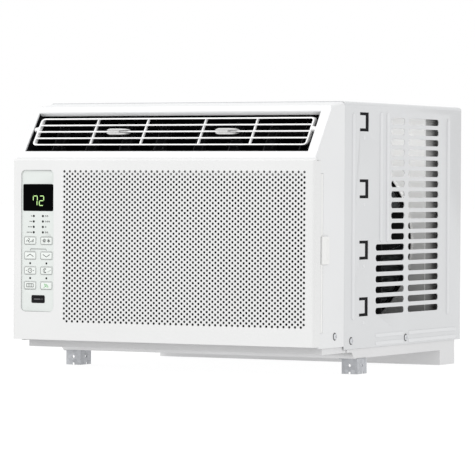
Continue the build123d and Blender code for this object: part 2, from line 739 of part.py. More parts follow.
# Coils


def tube_places(rows, count, first, pitch):
    return [(y, first + pitch * n) for y in rows for n in range(count)]


def fin_pack(x, y, z, floor, rows, count, first, pitch, radius):
    """The fin block and its two end plates, bored for the tubes."""
    plate_y = (y[0] - 2, y[1] + 1.5)
    pack = [
        block(x, y, z),
        block((x[0] - COIL_PLATE, x[0]), plate_y, (floor, z[1] + 1)),
        block((x[1], x[1] + COIL_PLATE), plate_y, (floor, z[1] + 1)),
    ]
    bores = [
        rod_x(tube_y, tube_z, radius + LINE_SEAT, (x[0] - 5, x[1] + 5))
        for tube_y, tube_z in tube_places(rows, count, first, pitch)
    ]
    return [piece - bores for piece in pack]


def return_bend(x, y, z, pitch, radius, side):
    """Half a ring that joins two tubes one pitch apart."""
    plane = Plane((x, y, z + pitch / 2), x_dir=(0, 0, 1), z_dir=(0, side, 0))
    return plane * Torus(pitch / 2, radius, major_angle=180, align=None)


def tube_rows(x, rows, count, first, pitch, radius):
    """Straight tubes and the return bends brazed to their ends, in one serpentine a row."""
    left, right = x[0] - COIL_PLATE - STUB, x[1] + COIL_PLATE + 1
    pieces = []
    for y in rows:
        for n in range(count):
            pieces.append(rod_x(y, first + pitch * n, radius, (left, right)))
        for n in range(0, count - 1, 2):
            pieces.append(return_bend(right, y, first + pitch * n, pitch, radius, 1))
        for n in range(1, count - 1, 2):
            pieces.append(return_bend(left, y, first + pitch * n, pitch, radius, -1))
    return pieces


def coil_seal():
    """Foam between the cooling coil's top and the duct's floor."""
    top = on_slope(MOUTH_LOW - DUCT_WALL, DUCT_FLOOR_DEPTH)
    return block((EVAP_X[0], EVAP_X[1]), (top[0] + 2, EVAP_Y[1]), (EVAP_Z[1] + 1, top[1]))


# Air handling


def axle_ring(radius, inner, y):
    return rod_y(AXLE_X, AXLE_Z, radius, y) - rod_y(AXLE_X, AXLE_Z, inner, (y[0] - 1, y[1] + 1))


def blower_scroll():
    y = (SCROLL_FRONT, BULKHEAD_Y[0])
    half, inner = SCROLL_R, SCROLL_R - SCROLL_WALL
    shell = rod_y(AXLE_X, AXLE_Z, half, y)
    shell += block((AXLE_X - half, AXLE_X + half), y, (AXLE_Z, CHANNEL_Z[0]))
    hollow_y = (SCROLL_FRONT + SCROLL_WALL, y[1] + 1)
    hollow = rod_y(AXLE_X, AXLE_Z, inner, hollow_y)
    hollow += block((AXLE_X - inner, AXLE_X + inner), hollow_y, (AXLE_Z, CHANNEL_Z[0] + 1))
    shell -= hollow + rod_y(AXLE_X, AXLE_Z, INLET_R, (y[0] - 1, y[0] + SCROLL_WALL + 1))
    return shell - block((AXLE_X - half, AXLE_X + half), (y[0] - 1, y[1] + 1), (CHANNEL_Z[0], CHANNEL_Z[0] + half))


def air_channel():
    half = MOUTH_RIGHT + 8
    y = (CABINET_FRONT + 1, BULKHEAD_Y[0])
    shell = block((-half, half), y, CHANNEL_Z)
    shell -= block((-half + 3, half - 3), (y[0] - 1, y[1] - 3), (CHANNEL_Z[0] + 3, CHANNEL_Z[1] - 3))
    inner = SCROLL_R - SCROLL_WALL
    return shell - block(
        (AXLE_X - inner, AXLE_X + inner),
        (SCROLL_FRONT + SCROLL_WALL + 2, y[1] - 3),
        (CHANNEL_Z[0] - 1, CHANNEL_Z[0] + 4),
    )


def bulkhead():
    plate = block((-CABINET_IN + 3, CABINET_IN - 3), BULKHEAD_Y, (PAN_MID_FLOOR, CHANNEL_Z[1] + 1))
    through = (BULKHEAD_Y[0] - 1, BULKHEAD_Y[1] + 1)
    plate -= rod_y(AXLE_X, AXLE_Z, SHAFT_R + 7, through)
    plate -= rod_y(SUCTION_PATH[4][0], SUCTION_PATH[4][2], EVAP_TUBE_R + 0.5, through)
    return plate - rod_y(CAPILLARY_PATH[3][0], CAPILLARY_PATH[3][2], CAPILLARY_R + 0.5, through)


def blower_wheel():
    wheel = rod_y(AXLE_X, AXLE_Z, BLOWER_R, (BLOWER_Y[1] - 2, BLOWER_Y[1]))
    wheel += rod_y(AXLE_X, AXLE_Z, SHAFT_R + 8, (BLOWER_Y[1] - 14, BLOWER_Y[1] + 8))
    wheel += axle_ring(BLOWER_R, BLOWER_R - 14, (BLOWER_Y[0], BLOWER_Y[0] + 3))
    for number in range(BLOWER_BLADES):
        turn = Rot(0, 360 / BLOWER_BLADES * number, 0)
        blade = Pos(BLOWER_R - 8, 0, 0) * Rot(0, 32, 0) * Box(14, BLOWER_Y[1] - BLOWER_Y[0] - 2, 1.4)
        middle = (BLOWER_Y[0] + BLOWER_Y[1]) / 2
        wheel += Pos(AXLE_X, middle, AXLE_Z) * turn * blade
    return wheel - rod_y(AXLE_X, AXLE_Z, SHAFT_R, (BLOWER_Y[0] - 1, BLOWER_Y[1] + 20))


def condenser_fan():
    fan = axle_ring(FAN_R, FAN_R - 3, FAN_Y)
    fan += rod_y(AXLE_X, AXLE_Z, 32, (FAN_Y[0] - 4, FAN_Y[1] + 2))
    middle = (FAN_Y[0] + FAN_Y[1]) / 2
    for number in range(FAN_BLADES):
        turn = Rot(0, 360 / FAN_BLADES * number, 0)
        blade = Pos((FAN_R + 24) / 2, 0, 0) * Rot(24, 0, 0) * Box(FAN_R - 27, 2, 62)
        blade = Pos(AXLE_X, middle, AXLE_Z) * turn * blade
        fan += blade & rod_y(AXLE_X, AXLE_Z, FAN_R - 1, (FAN_Y[0] - 20, FAN_Y[1] + 20))
    return fan - rod_y(AXLE_X, AXLE_Z, SHAFT_R, (FAN_Y[0] - 10, FAN_Y[1] + 10))


def motor_shaft():
    return rod_y(AXLE_X, AXLE_Z, SHAFT_R, SHAFT_Y)


def fan_motor():
    body = rod_y(AXLE_X, AXLE_Z, MOTOR_R, MOTOR_Y)
    body = fillet(body.edges().filter_by(GeomType.CIRCLE), 6.0)
    body += rod_y(AXLE_X, AXLE_Z, 14, (MOTOR_Y[0] - 8, MOTOR_Y[1] + 8))
    return body - rod_y(AXLE_X, AXLE_Z, SHAFT_R + RUNNING, (MOTOR_Y[0] - 10, MOTOR_Y[1] + 10))


def motor_bracket():
    """A cradle that stands on the pan and takes the motor's lower half."""
    y = (MOTOR_Y[0] + 22, MOTOR_Y[1] - 22)
    half = MOTOR_R - 8
    cradle = block((AXLE_X - half, AXLE_X + half), y, (PAN_MID_FLOOR, AXLE_Z - 10))
    cradle += block((AXLE_X - half - 12, AXLE_X + half + 12), y, (PAN_MID_FLOOR, PAN_MID_FLOOR + 3))
    cradle -= rod_y(AXLE_X, AXLE_Z, MOTOR_R, (y[0] - 1, y[1] + 1))
    return cradle - block(
        (AXLE_X - half + 8, AXLE_X + half - 8), (y[0] - 1, y[1] + 1), (PAN_MID_FLOOR + 8, AXLE_Z - MOTOR_R - 12)
    )


def fan_shroud():
    x = SHROUD_X
    top = CHANNEL_Z[1] - 5
    rear = COND_Y[0] - GAP
    hood = block(x, (SHROUD_Y[0], SUMP_Y - 1), (PAN_MID_FLOOR, top))
    hood += block(x, (SHROUD_Y[0], rear), (5, top))
    hood -= block((x[0] + 2.5, x[1] - 2.5), (SHROUD_Y[1], rear + 1), (PAN_MID_FLOOR - 1, top - 2.5))
    return hood - rod_y(AXLE_X, AXLE_Z, SHROUD_HOLE_R, (SHROUD_Y[0] - 1, SHROUD_Y[1] + 1))


# Compressor and lines


def foot_places():
    x, y = COMP_AT
    return [
        (x + FOOT_RING * math.cos(math.radians(a)), y + FOOT_RING * math.sin(math.radians(a)))
        for a in (90, 210, 330)
    ]


def compressor():
    x, y = COMP_AT
    body = rod_z(x, y, COMP_R, (FOOT_PLATE_Z[1], COMP_TOP))
    body = fillet(body.edges().filter_by(GeomType.CIRCLE), 20.0)
    for angle, (foot_x, foot_y) in zip((90, 210, 330), foot_places()):
        arm = Pos(x, y, FOOT_PLATE_Z[0]) * Rot(0, 0, angle) * Pos(FOOT_RING / 2, 0, 0)
        body += arm * Box(FOOT_RING, 22, 3, align=(Align.CENTER, Align.CENTER, Align.MIN))
        body += rod_z(foot_x, foot_y, 11, FOOT_PLATE_Z)
    body += rod_z(x, y, 30, (FOOT_PLATE_Z[0], 20))
    tank = rod_z(ACC_AT[0], ACC_AT[1], ACC_R, ACC_Z)
    tank = fillet(tank.edges().filter_by(GeomType.CIRCLE), 9.0)
    body += tank + block((ACC_AT[0] + 15, x - COMP_R + 8), (ACC_AT[1] - 8, ACC_AT[1] + 8), (80, 104))
    for foot_x, foot_y in foot_places():
        body -= rod_z(foot_x, foot_y, STUD_R + GAP, (FOOT_PLATE_Z[0] - 1, FOOT_PLATE_Z[1] + 1))
    return body


def compressor_grommets():
    rings = []
    for x, y in foot_places():
        ring = rod_z(x, y, GROMMET_R, (PAN_MID_FLOOR, FOOT_PLATE_Z[0]))
        rings.append(ring - rod_z(x, y, STUD_R + LINE_SEAT, (PAN_MID_FLOOR - 1, FOOT_PLATE_Z[0] + 1)))
    return rings


CAPILLARY_R = 1.5
EVAP_LEFT = EVAP_X[0] - COIL_PLATE - STUB
COND_LEFT = COND_X[0] - COIL_PLATE - STUB
COND_LAST = COND_FIRST + COND_PITCH * (COND_TUBES - 1)
LINE_X = EVAP_LEFT - 11
SUCTION_PATH = [
    (EVAP_LEFT, EVAP_ROWS[1], EVAP_FIRST),
    (LINE_X, EVAP_ROWS[1], EVAP_FIRST),
    (LINE_X, 150.0, EVAP_FIRST),
    (ACC_AT[0], 150.0, EVAP_FIRST),
    (ACC_AT[0], 150.0, ACC_Z[1] + 45),
    (ACC_AT[0], ACC_AT[1], ACC_Z[1] + 45),
    (ACC_AT[0], ACC_AT[1], ACC_Z[1]),
]
DISCHARGE_PATH = [
    (COMP_AT[0], COMP_AT[1], COMP_TOP),
    (COMP_AT[0], COMP_AT[1], COND_LAST),
    (COND_LEFT - 9, COMP_AT[1], COND_LAST),
    (COND_LEFT - 9, COND_ROWS[0], COND_LAST),
    (COND_LEFT, COND_ROWS[0], COND_LAST),
]
CAPILLARY_PATH = [
    (COND_LEFT, COND_ROWS[1], COND_FIRST),
    (COND_LEFT - 10, COND_ROWS[1], COND_FIRST),
    (COND_LEFT - 10, COND_ROWS[1], ACC_Z[0] - 10),
    (COND_LEFT - 10, 130.0, ACC_Z[0] - 10),
    (EVAP_LEFT - 5, 130.0, ACC_Z[0] - 10),
    (EVAP_LEFT - 5, EVAP_ROWS[0], ACC_Z[0] - 10),
    (EVAP_LEFT - 5, EVAP_ROWS[0], EVAP_FIRST),
    (EVAP_LEFT, EVAP_ROWS[0], EVAP_FIRST),
]


def line(points, radius, bend):
    path = FilletPolyline(*points, radius=bend)
    start = Vector(*points[0])
    heading = Vector(*points[1]) - start
    return sweep(Plane(start, z_dir=heading) * Circle(radius), path=path)


def refrigerant_lines():
    return [
        line(SUCTION_PATH, EVAP_TUBE_R, 8.0),
        line(DISCHARGE_PATH, COND_TUBE_R, 7.0),
        line(CAPILLARY_PATH, CAPILLARY_R, 4.0),
    ]


# Controls inside


def control_box():
    x, y, z, wall = BOX_X, BOX_Y, (PAN_FRONT_FLOOR, BOX_TOP), BOX_WALL
    shell = block(x, y, z)
    return shell - block((x[0] + wall, x[1] - wall), (y[0] - 1, y[1] - wall), (z[0] + wall, z[1] - wall))


def power_board():
    left, rear = BOX_X[0] + 2, BOX_Y[1] - BOX_WALL
    board = block((left, left + 44), (rear - BOARD_T, rear), (70, 215))
    board += block((left + 6, left + 34), (rear - 18.5, rear - BOARD_T), (90, 124))
    return board + block((left + 8, left + 28), (rear - 10.5, rear - BOARD_T), (150, 190))


def run_capacitor():
    x, y, top = BOX_X[0] + 24, BOX_Y[0] + 22, 58
    can = rod_z(x, y, 17, (PAN_FRONT_FLOOR + BOX_WALL, top))
    for blade in (x - 7, x + 4):
        can += block((blade, blade + 3), (y - 4, y + 4), (top - 1, top + 6))
    return can


# Base pan, cabinet and fixings


def base_pan():
    outer = [
        (PAN_Y[0], PAN_TOP),
        (PAN_Y[0], PAN_FRONT_Z),
        (PAN_STEP[0], PAN_FRONT_Z),
        (PAN_STEP[1], PAN_MID_Z),
        (SUMP_Y, PAN_MID_Z),
        (SUMP_Y, -FOOT),
        (PAN_Y[1], -FOOT),
        (PAN_Y[1], PAN_TOP),
    ]
    t = PAN_SHEET
    inner = [
        (PAN_Y[0] + t, PAN_TOP + 5),
        (PAN_Y[0] + t, PAN_FRONT_FLOOR),
        (PAN_STEP[0] + t / 2, PAN_FRONT_FLOOR),
        (PAN_STEP[1] + t / 2, PAN_MID_FLOOR),
        (SUMP_Y + t, PAN_MID_FLOOR),
        (SUMP_Y + t, SUMP_FLOOR),
        (PAN_Y[1] - t, SUMP_FLOOR),
        (PAN_Y[1] - t, PAN_TOP + 5),
    ]
    pan = side_prism(outer, (-PAN_HALF, PAN_HALF))
    pan -= side_prism(inner, (-PAN_HALF + t, PAN_HALF - t))
    # Inside the plastic housing the pan's walls are lower and narrower than the housing's.
    for side in (-1, 1):
        span = sorted((side * (HOUSING_IN - SEAM), side * (PAN_HALF + 1)))
        pan -= block(span, (PAN_Y[0] - 1, CABINET_FRONT + 12), (-60, PAN_TOP + 1))
        wall = sorted((side * (HOUSING_IN - SEAM), side * (HOUSING_IN - SEAM - t)))
        pan += block(wall, (PAN_Y[0], CABINET_FRONT + 12 + t), (PAN_FRONT_Z, PAN_TOP))
        web = sorted((side * (HOUSING_IN - SEAM - t), side * PAN_HALF))
        pan += block(web, (CABINET_FRONT + 12, CABINET_FRONT + 12 + t), (PAN_FRONT_Z, PAN_TOP))
    for x, y in foot_places():
        pan += rod_z(x, y, STUD_R, (PAN_MID_Z, FOOT_PLATE_Z[1] + 4))
    for y, z in (*CABINET_SCREWS, HOUSING_SCREW):
        pan -= rod_x(y, z, SCREW_R + RUNNING, (-PAN_HALF - 1, PAN_HALF + 1))
    for x, y in bracket_screw_places():
        pan -= rod_z(x, y, SCREW_R + RUNNING, (PAN_MID_Z - 1, PAN_MID_FLOOR + 1))
    return pan


def cabinet_shell():
    half = CABINET_W / 2
    y = (CABINET_FRONT + GAP, DEPTH)
    shell = front_plate((-half, half), (CABINET_BOTTOM - 60, CABINET_TOP), y, 5.0)
    shell -= front_plate(
        (-CABINET_IN, CABINET_IN), (CABINET_BOTTOM - 61, CABINET_TOP - SHEET), (y[0] - 1, y[1] - SHEET), 4.0
    )
    shell -= block((-half - 1, half + 1), (y[0] - 1, y[1] + 1), (CABINET_BOTTOM - 80, CABINET_BOTTOM))
    half_x, low, high = REAR_OPENING
    shell -= front_plate((-half_x, half_x), (low, high), (y[1] - 5, y[1] + 1), 6.0)
    cutters = []
    for row in range(LOUVER_ROWS):
        z = LOUVER_TOP - row * LOUVER_PITCH
        front = LOUVER_UPPER if row < UPPER_ROWS else LOUVER_LOWER
        for low_y, high_y in (front, LOUVER_REAR):
            slot = Pos((low_y + high_y) / 2, z) * SlotOverall(high_y - low_y, LOUVER_H)
            cutters.append(Pos(-half - 5, 0, 0) * extrude(Plane.YZ * slot, CABINET_W + 10))
    for top in CLIP_TOPS:
        front, mid, rear = CLIP_Y
        outline = [
            (front, top),
            (rear, top),
            (rear, top - CLIP_H),
            (front, top - CLIP_H),
            (front, top - CLIP_H + CLIP_LEG),
            (mid, top - CLIP_H + CLIP_LEG),
            (mid, top - CLIP_LEG),
            (front, top - CLIP_LEG),
        ]
        cutters.append(side_prism(outline, (-half - 5, half + 5)))
    for screw_y, screw_z in CABINET_SCREWS:
        cutters.append(rod_x(screw_y, screw_z, SCREW_R + RUNNING, (-half - 5, half + 5)))
    return shell - cutters


def side_screw(y, z, skin, inner):
    """A pan-head screw through a side wall, drawn on the right."""
    head = rod_x(y, z, 4.2, (skin, skin + 2.2))
    head = fillet(head.edges().filter_by(GeomType.CIRCLE).sort_by(Axis.X)[-1], 1.4)
    head += rod_x(y, z, SCREW_R, (inner - 3, skin + 0.5))
    return head - block((skin + 1.4, skin + 3), (y - 2.6, y + 2.6), (z - 0.45, z + 0.45))


def cabinet_screws():
    half = CABINET_W / 2
    screws = []
    for y, z in (*CABINET_SCREWS, HOUSING_SCREW):
        screws += both_sides(side_screw(y, z, half, PAN_HALF - PAN_SHEET))
    return screws


def bracket_places():
    return {"left": BRACKET_LEFT_X, "right": BRACKET_RIGHT_X}


def bracket_screw_places():
    return [
        (x + BRACKET_W / 2 - 2, BRACKET_FRONT + depth)
        for x in bracket_places().values()
        for depth in (9.0, 22.0)
    ]


def sill_bracket(x):
    """A galvanised angle: a front wall, a side wall and the flange screwed under the pan."""
    y = (BRACKET_FRONT, BRACKET_FRONT + BRACKET_DEPTH)
    z = (-FOOT, PAN_MID_Z)
    t = BRACKET_SHEET
    shape = block((x, x + BRACKET_W), (y[0], y[0] + t), z)
    shape += block((x + BRACKET_W - t, x + BRACKET_W), y, z)
    shape += block((x - BRACKET_LIP, x + BRACKET_W), y, (z[1] - t, z[1]))
    mid_z = (z[0] + z[1]) / 2 + 1
    shape -= rod_y(x + BRACKET_W / 2, mid_z, BRACKET_HOLE_R, (y[0] - 1, y[0] + t + 1))
    shape -= rod_x(y[0] + BRACKET_DEPTH / 2, mid_z, BRACKET_HOLE_R, (x + BRACKET_W - t - 1, x + BRACKET_W + 1))
    notch = (z[0] - 1, z[0] + 3)
    shape -= block((x + BRACKET_W / 2 - 1.5, x + BRACKET_W / 2 + 1.5), (y[0] - 1, y[0] + t + 1), notch)
    shape -= block((x + BRACKET_W - t - 1, x + BRACKET_W + 1), (y[1] - 13, y[1] - 10), notch)
    for screw_x, screw_y in bracket_screw_places():
        shape -= rod_z(screw_x, screw_y, SCREW_R + RUNNING, (z[1] - t - 1, z[1] + 1))
    return shape


def bracket_screws():
    screws = []
    seat = PAN_MID_Z - BRACKET_SHEET
    for x, y in bracket_screw_places():
        head = rod_z(x, y, 4.0, (seat - 2.2, seat))
        head = fillet(head.edges().filter_by(GeomType.CIRCLE).sort_by(Axis.Z)[0], 1.2)
        screws.append(head + rod_z(x, y, SCREW_R, (seat - 0.5, PAN_MID_FLOOR + 4)))
    return screws


def main():
    os.makedirs("parts", exist_ok=True)
    save("front_panel", front_panel())
    save("panel_screen", panel_screen())
    save("control_bezel", control_bezel())
    save("display_lens", display_lens())
    save("display_board", display_board())
    save("display_digits", display_digits())
    save("indicator_leds", indicator_leds())
    for name, x, z, width, height in button_places():
        save(f"button_{name}", button(x, z, width, height))
    save("front_housing", front_housing())
    save("cord_gland", cord_gland())
    save("discharge_duct", discharge_duct())
    save("louvre_frame", louvre_frame())
    places = vane_places()
    for side, tab_x, bank in (("left", TAB_X[0], places[:4]), ("right", TAB_X[1], places[4:])):
        save(f"vane_tab_{side}", vane_tab(tab_x))
        save(f"vane_link_{side}", vane_link(bank))
        for number, x in enumerate(bank, 1):
            save(f"vane_{side}_{number}", vane(x))
    save("filter_frame", filter_frame())
    save("filter_mesh", filter_mesh())
    evap = (EVAP_ROWS, EVAP_TUBES, EVAP_FIRST, EVAP_PITCH, EVAP_TUBE_R)
    cond = (COND_ROWS, COND_TUBES, COND_FIRST, COND_PITCH, COND_TUBE_R)
    save("evaporator_fins", fin_pack(EVAP_X, EVAP_Y, EVAP_Z, PAN_FRONT_FLOOR, *evap))
    save("evaporator_tubes", tube_rows(EVAP_X, *evap))
    save("condenser_fins", fin_pack(COND_X, COND_Y, COND_Z, SUMP_FLOOR, *cond))
    save("condenser_tubes", tube_rows(COND_X, *cond))
    save("coil_seal", coil_seal())
    save("blower_scroll", blower_scroll())
    save("air_channel", air_channel())
    save("bulkhead", bulkhead())
    save("blower_wheel", blower_wheel())
    save("condenser_fan", condenser_fan())
    save("motor_shaft", motor_shaft())
    save("fan_motor", fan_motor())
    save("motor_bracket", motor_bracket())
    save("fan_shroud", fan_shroud())
    save("compressor", compressor())
    save("compressor_grommets", compressor_grommets())
    save("refrigerant_lines", refrigerant_lines())
    save("control_box", control_box())
    save("power_board", power_board())
    save("run_capacitor", run_capacitor())
    save("base_pan", base_pan())
    save("cabinet_shell", cabinet_shell())
    for side, x in bracket_places().items():
        save(f"sill_bracket_{side}", sill_bracket(x))
    save("cabinet_screws", cabinet_screws())
    save("bracket_screws", bracket_screws())


if __name__ == "__main__":
    main()
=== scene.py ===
# %% [markdown]
# # A window air conditioner, finished in Blender
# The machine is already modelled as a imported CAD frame: every panel, coil, fan and key is a node on a
# body, and the bodies move on joints. This lesson gives that frame its looks. Some nodes only need a
# finish, others are replaced by a finer surface that rides on the same body.

# %% Load the frame and measure it
import json
import math

import bmesh
import bpy
import numpy as np
from mathutils import Matrix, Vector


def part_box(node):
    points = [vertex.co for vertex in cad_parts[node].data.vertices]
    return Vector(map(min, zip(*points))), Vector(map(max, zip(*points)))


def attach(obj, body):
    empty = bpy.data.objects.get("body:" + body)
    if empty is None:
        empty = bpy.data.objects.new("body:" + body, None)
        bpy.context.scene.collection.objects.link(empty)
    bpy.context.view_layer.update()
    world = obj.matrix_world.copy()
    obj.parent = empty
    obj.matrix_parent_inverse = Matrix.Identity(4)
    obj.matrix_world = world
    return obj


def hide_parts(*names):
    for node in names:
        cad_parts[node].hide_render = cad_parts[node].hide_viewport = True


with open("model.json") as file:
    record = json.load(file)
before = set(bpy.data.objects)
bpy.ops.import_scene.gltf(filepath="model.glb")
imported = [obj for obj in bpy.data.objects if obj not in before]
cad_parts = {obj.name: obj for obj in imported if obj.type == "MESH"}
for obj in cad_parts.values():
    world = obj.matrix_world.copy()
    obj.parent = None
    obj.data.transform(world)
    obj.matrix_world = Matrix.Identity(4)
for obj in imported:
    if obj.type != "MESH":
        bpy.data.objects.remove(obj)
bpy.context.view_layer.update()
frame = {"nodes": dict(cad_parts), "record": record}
nodes = frame["nodes"]

# %% [markdown]
# ## Drawing coordinates
# The sizes below are in millimetres, as a maker's drawing gives them: X to the right, Y back from the
# front panel's face, and Z up from the panel's lower edge. One function turns them into metres in the
# frame, and it reads the panel's own box, so nothing has to be fitted by eye.

# %% From the drawing to the frame and back
MM = 0.001
panel_low, panel_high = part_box("front_panel")
ORIGIN = np.array([0.0, panel_low.y, panel_low.z])


def placed(points):
    """Metres in the frame: a thousandth of the drawing's millimetres, plus the drawing's origin."""
    return np.asarray(points, float) * MM + ORIGIN


def drawn(points):
    """Drawing millimetres: the distance from the drawing's origin, times a thousand."""
    return (np.asarray(points, float) - ORIGIN) * 1000.0


def drawn_box(node):
    """A node's lowest and highest corners in drawing millimetres."""
    low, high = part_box(node)
    return drawn(low), drawn(high)


def middle_of(node):
    """The middle of a node's box: half the sum of its two corners."""
    return sum(drawn_box(node)) / 2


def inset(span, by):
    """A span with both ends moved inwards, or outwards if the step is negative."""
    return span[0] + by, span[1] - by


print("panel", *[np.round(corner, 1) for corner in drawn_box("front_panel")])

# %% [markdown]
# ## Surfaces as arrays of points
# Nearly every new piece is a grid: a closed outline carried through a row of stations. The points are
# worked out as whole arrays, and the faces are index arithmetic. A shape is kept as a pair of points
# and blocks of faces until it is finished, so that shapes can be joined and repeated as arrays too.

# %% Faces by index arithmetic


def grid_faces(rows, columns, close_rows=False):
    """Quads of a grid whose columns meet: point (r, c) has index r times columns plus c, and closing the
    rows joins the last to the first."""
    r, c = np.meshgrid(np.arange(rows if close_rows else rows - 1), np.arange(columns), indexing="ij")
    next_r, next_c = (r + 1) % rows, (c + 1) % columns
    corners = [r * columns + c, r * columns + next_c, next_r * columns + next_c, next_r * columns + c]
    return np.stack(corners, -1).reshape(-1, 4)


def swept(rings, closed=False):
    """A solid through stations × outline × 3 points: quads between stations and a cap on each open end."""
    stations, count, _ = rings.shape
    faces = [grid_faces(stations, count, closed)]
    if not closed:
        first = np.arange(count)[None]
        faces += [first[:, ::-1], first + (stations - 1) * count]
    return outward((rings.reshape(-1, 3), faces))


def enclosed_volume(shape):
    """A sixth of the sum of a · (b × c) over every face's triangles, positive if faces point outwards."""
    points, faces = shape
    total = 0.0
    for block in faces:
        for k in range(1, block.shape[1] - 1):
            a, b, c = points[block[:, 0]], points[block[:, k]], points[block[:, k + 1]]
            total += np.einsum("ij,ij->", a, np.cross(b, c))
    return total / 6.0


def outward(shape):
    """Turns every face round if the enclosed volume is negative."""
    points, faces = shape
    if enclosed_volume((points - points.mean(0), faces)) < 0:
        faces = [block[:, ::-1] for block in faces]
    return points, faces


print("a ring of 3 stations and 4 corners has", len(grid_faces(3, 4)), "quads")

# %% [markdown]
# ## Joining, repeating and turning
# Fins, blades and threads come by the dozen. Copying a finished object each time would be slow, so the
# copies are made while the shape is still an array: only its indices have to move up.

# %% Many shapes as one


def joined(shapes):
    """One shape from several: each one's indices move up by the number of points before it."""
    points, faces, before = [], [], 0
    for some_points, some_faces in shapes:
        points.append(some_points)
        faces += [block + before for block in some_faces]
        before += len(some_points)
    return np.concatenate(points), faces


def copied(many, faces):
    """Copies × points × 3 as one shape: every copy has the same faces, moved up by the copies before it."""
    steps = np.arange(len(many))[:, None, None] * many.shape[1]
    return many.reshape(-1, 3), [(block[None] + steps).reshape(-1, block.shape[1]) for block in faces]


def repeated(shape, moves):
    """Copies of a shape, one for each row of moves, added to its points as a whole array."""
    return copied(shape[0][None] + np.asarray(moves, float).reshape(-1, 1, 3), shape[1])


def along(axis, values):
    """Moves along one axis: the values in its column, and zeros in the others."""
    moves = np.zeros((len(values), 3))
    moves[:, axis] = values
    return moves


def circle(count):
    """Evenly spaced angles round a full turn."""
    return np.arange(count) * 2 * np.pi / count


def turned(shape, count, about):
    """Copies evenly turned about a line along Y through (x, z): x' = x cos + z sin, z' = z cos - x sin."""
    axle = np.array([about[0], 0.0, about[1]])
    angle = circle(count)[:, None]
    x, y, z = (shape[0] - axle).T
    new_x = x * np.cos(angle) + z * np.sin(angle)
    new_z = z * np.cos(angle) - x * np.sin(angle)
    return copied(np.stack([new_x, np.broadcast_to(y, new_x.shape), new_z], -1) + axle, shape[1])


print("three steps along X:", along(0, [1, 2, 3]).tolist())

# %% [markdown]
# ## Outlines that come back again and again
# Moulded parts are made of rounded rectangles, ribbons along a path and turned shapes. Each outline is
# a formula in two dimensions, and a sweep gives it its third.

# %% Rounded rectangles, pads and bricks
PAD_LEVELS = 4


def at_depths(loops, depths):
    """Stations × outline × (x, y, z): each loop of (x, z) pairs at its own depth y."""
    return np.array([np.insert(np.asarray(loop, float), 1, y, axis=1) for loop, y in zip(loops, depths)])


def rounded_rectangle(x, z, radius, steps=6):
    """Corners at (x, z) pairs, each a quarter circle of the radius, as one closed loop of points."""
    arcs = []
    for number, (right, top) in enumerate(((1, 1), (0, 1), (0, 0), (1, 0))):
        centre = (inset(x, radius)[right], inset(z, radius)[top])
        angle = (number + np.linspace(0, 1, steps)) * np.pi / 2
        arcs.append(centre + radius * np.stack([np.cos(angle), np.sin(angle)], -1))
    return np.concatenate(arcs)


def front_pad(x, z, radius, front, back, edge, rise=None):
    """A rounded plate seen from the front whose front edge is rounded: the outline shrinks by
    edge times (1 - cos) while it comes forward by rise times sin."""
    rise = edge if rise is None else rise
    angle = np.linspace(0, np.pi / 2, PAD_LEVELS)
    insets = np.concatenate([[0.0], edge * (1 - np.cos(angle))])
    depths = np.concatenate([[back], front + rise * (1 - np.sin(angle))])
    loops = [rounded_rectangle(inset(x, by), inset(z, by), max(radius - by, 0.05)) for by in insets]
    return swept(at_depths(loops, depths))


def brick(x, y, z):
    """A box with flat faces, the plain stock that thin fins and threads are cut from."""
    loop = [(x[0], z[0]), (x[1], z[0]), (x[1], z[1]), (x[0], z[1])]
    return swept(at_depths([loop, loop], y))


print("a key cap has", len(front_pad((0, 20), (0, 11), 1.7, 0, 3, 0.6)[0]), "points")

# %% [markdown]
# ## Ribbons and turned shapes
# A ribbon is a small section pushed sideways from every point of a path. A turned shape is a profile of
# places along an axis and radii, as on a lathe, and an open one closes at a hair's radius.

# %% Sections along a path, and the lathe
HAIR = 0.01


def beside(path, closed):
    """For each (x, z) point of a path, the unit vector square to the way between its neighbours."""
    before, after = np.roll(path, 1, 0), np.roll(path, -1, 0)
    if not closed:
        before[0], after[-1] = path[0], path[-1]
    way = after - before
    way /= np.linalg.norm(way, axis=1)[:, None]
    return np.stack([way[:, 1], -way[:, 0]], -1)


def carried(path, section, closed=True):
    """Path × section × (x, y, z): each path point, plus the section's first number times the way beside
    the path, at the section's second number in depth."""
    path, section = np.asarray(path, float), np.asarray(section, float)
    flat = path[:, None] + beside(path, closed)[:, None] * section[None, :, :1]
    return np.stack([flat[..., 0], np.broadcast_to(section[:, 1], flat.shape[:2]), flat[..., 1]], -1)


def lathe(axis, profile, centre, sides, closed=False):
    """A profile of (place along the axis, radius) pairs turned about the axis: the two other coordinates
    are the centre plus radius times cos and sin. A closed profile gives a ring."""
    place, radius = np.asarray(profile, float).T[:, :, None]
    one, other = [k for k in range(3) if k != axis]
    rings = np.empty((len(profile), sides, 3))
    rings[..., axis] = place
    rings[..., one] = centre[0] + radius * np.cos(circle(sides))
    rings[..., other] = centre[1] + radius * np.sin(circle(sides))
    return swept(rings, closed)


print("a washer has", len(lathe(1, [(0, 2), (0, 5), (1, 5), (1, 2)], (0, 0), 24, True)[0]), "points")

# %% [markdown]
# ## Into Blender
# A finished shape goes into a mesh with foreach_set, its object stays at the origin, and it rides on
# the body that carries it. Faces are shaded smooth, and an edge sharper than a limit stays crisp.

# %% Make a piece
CRISP = math.radians(30)
finishes = {}


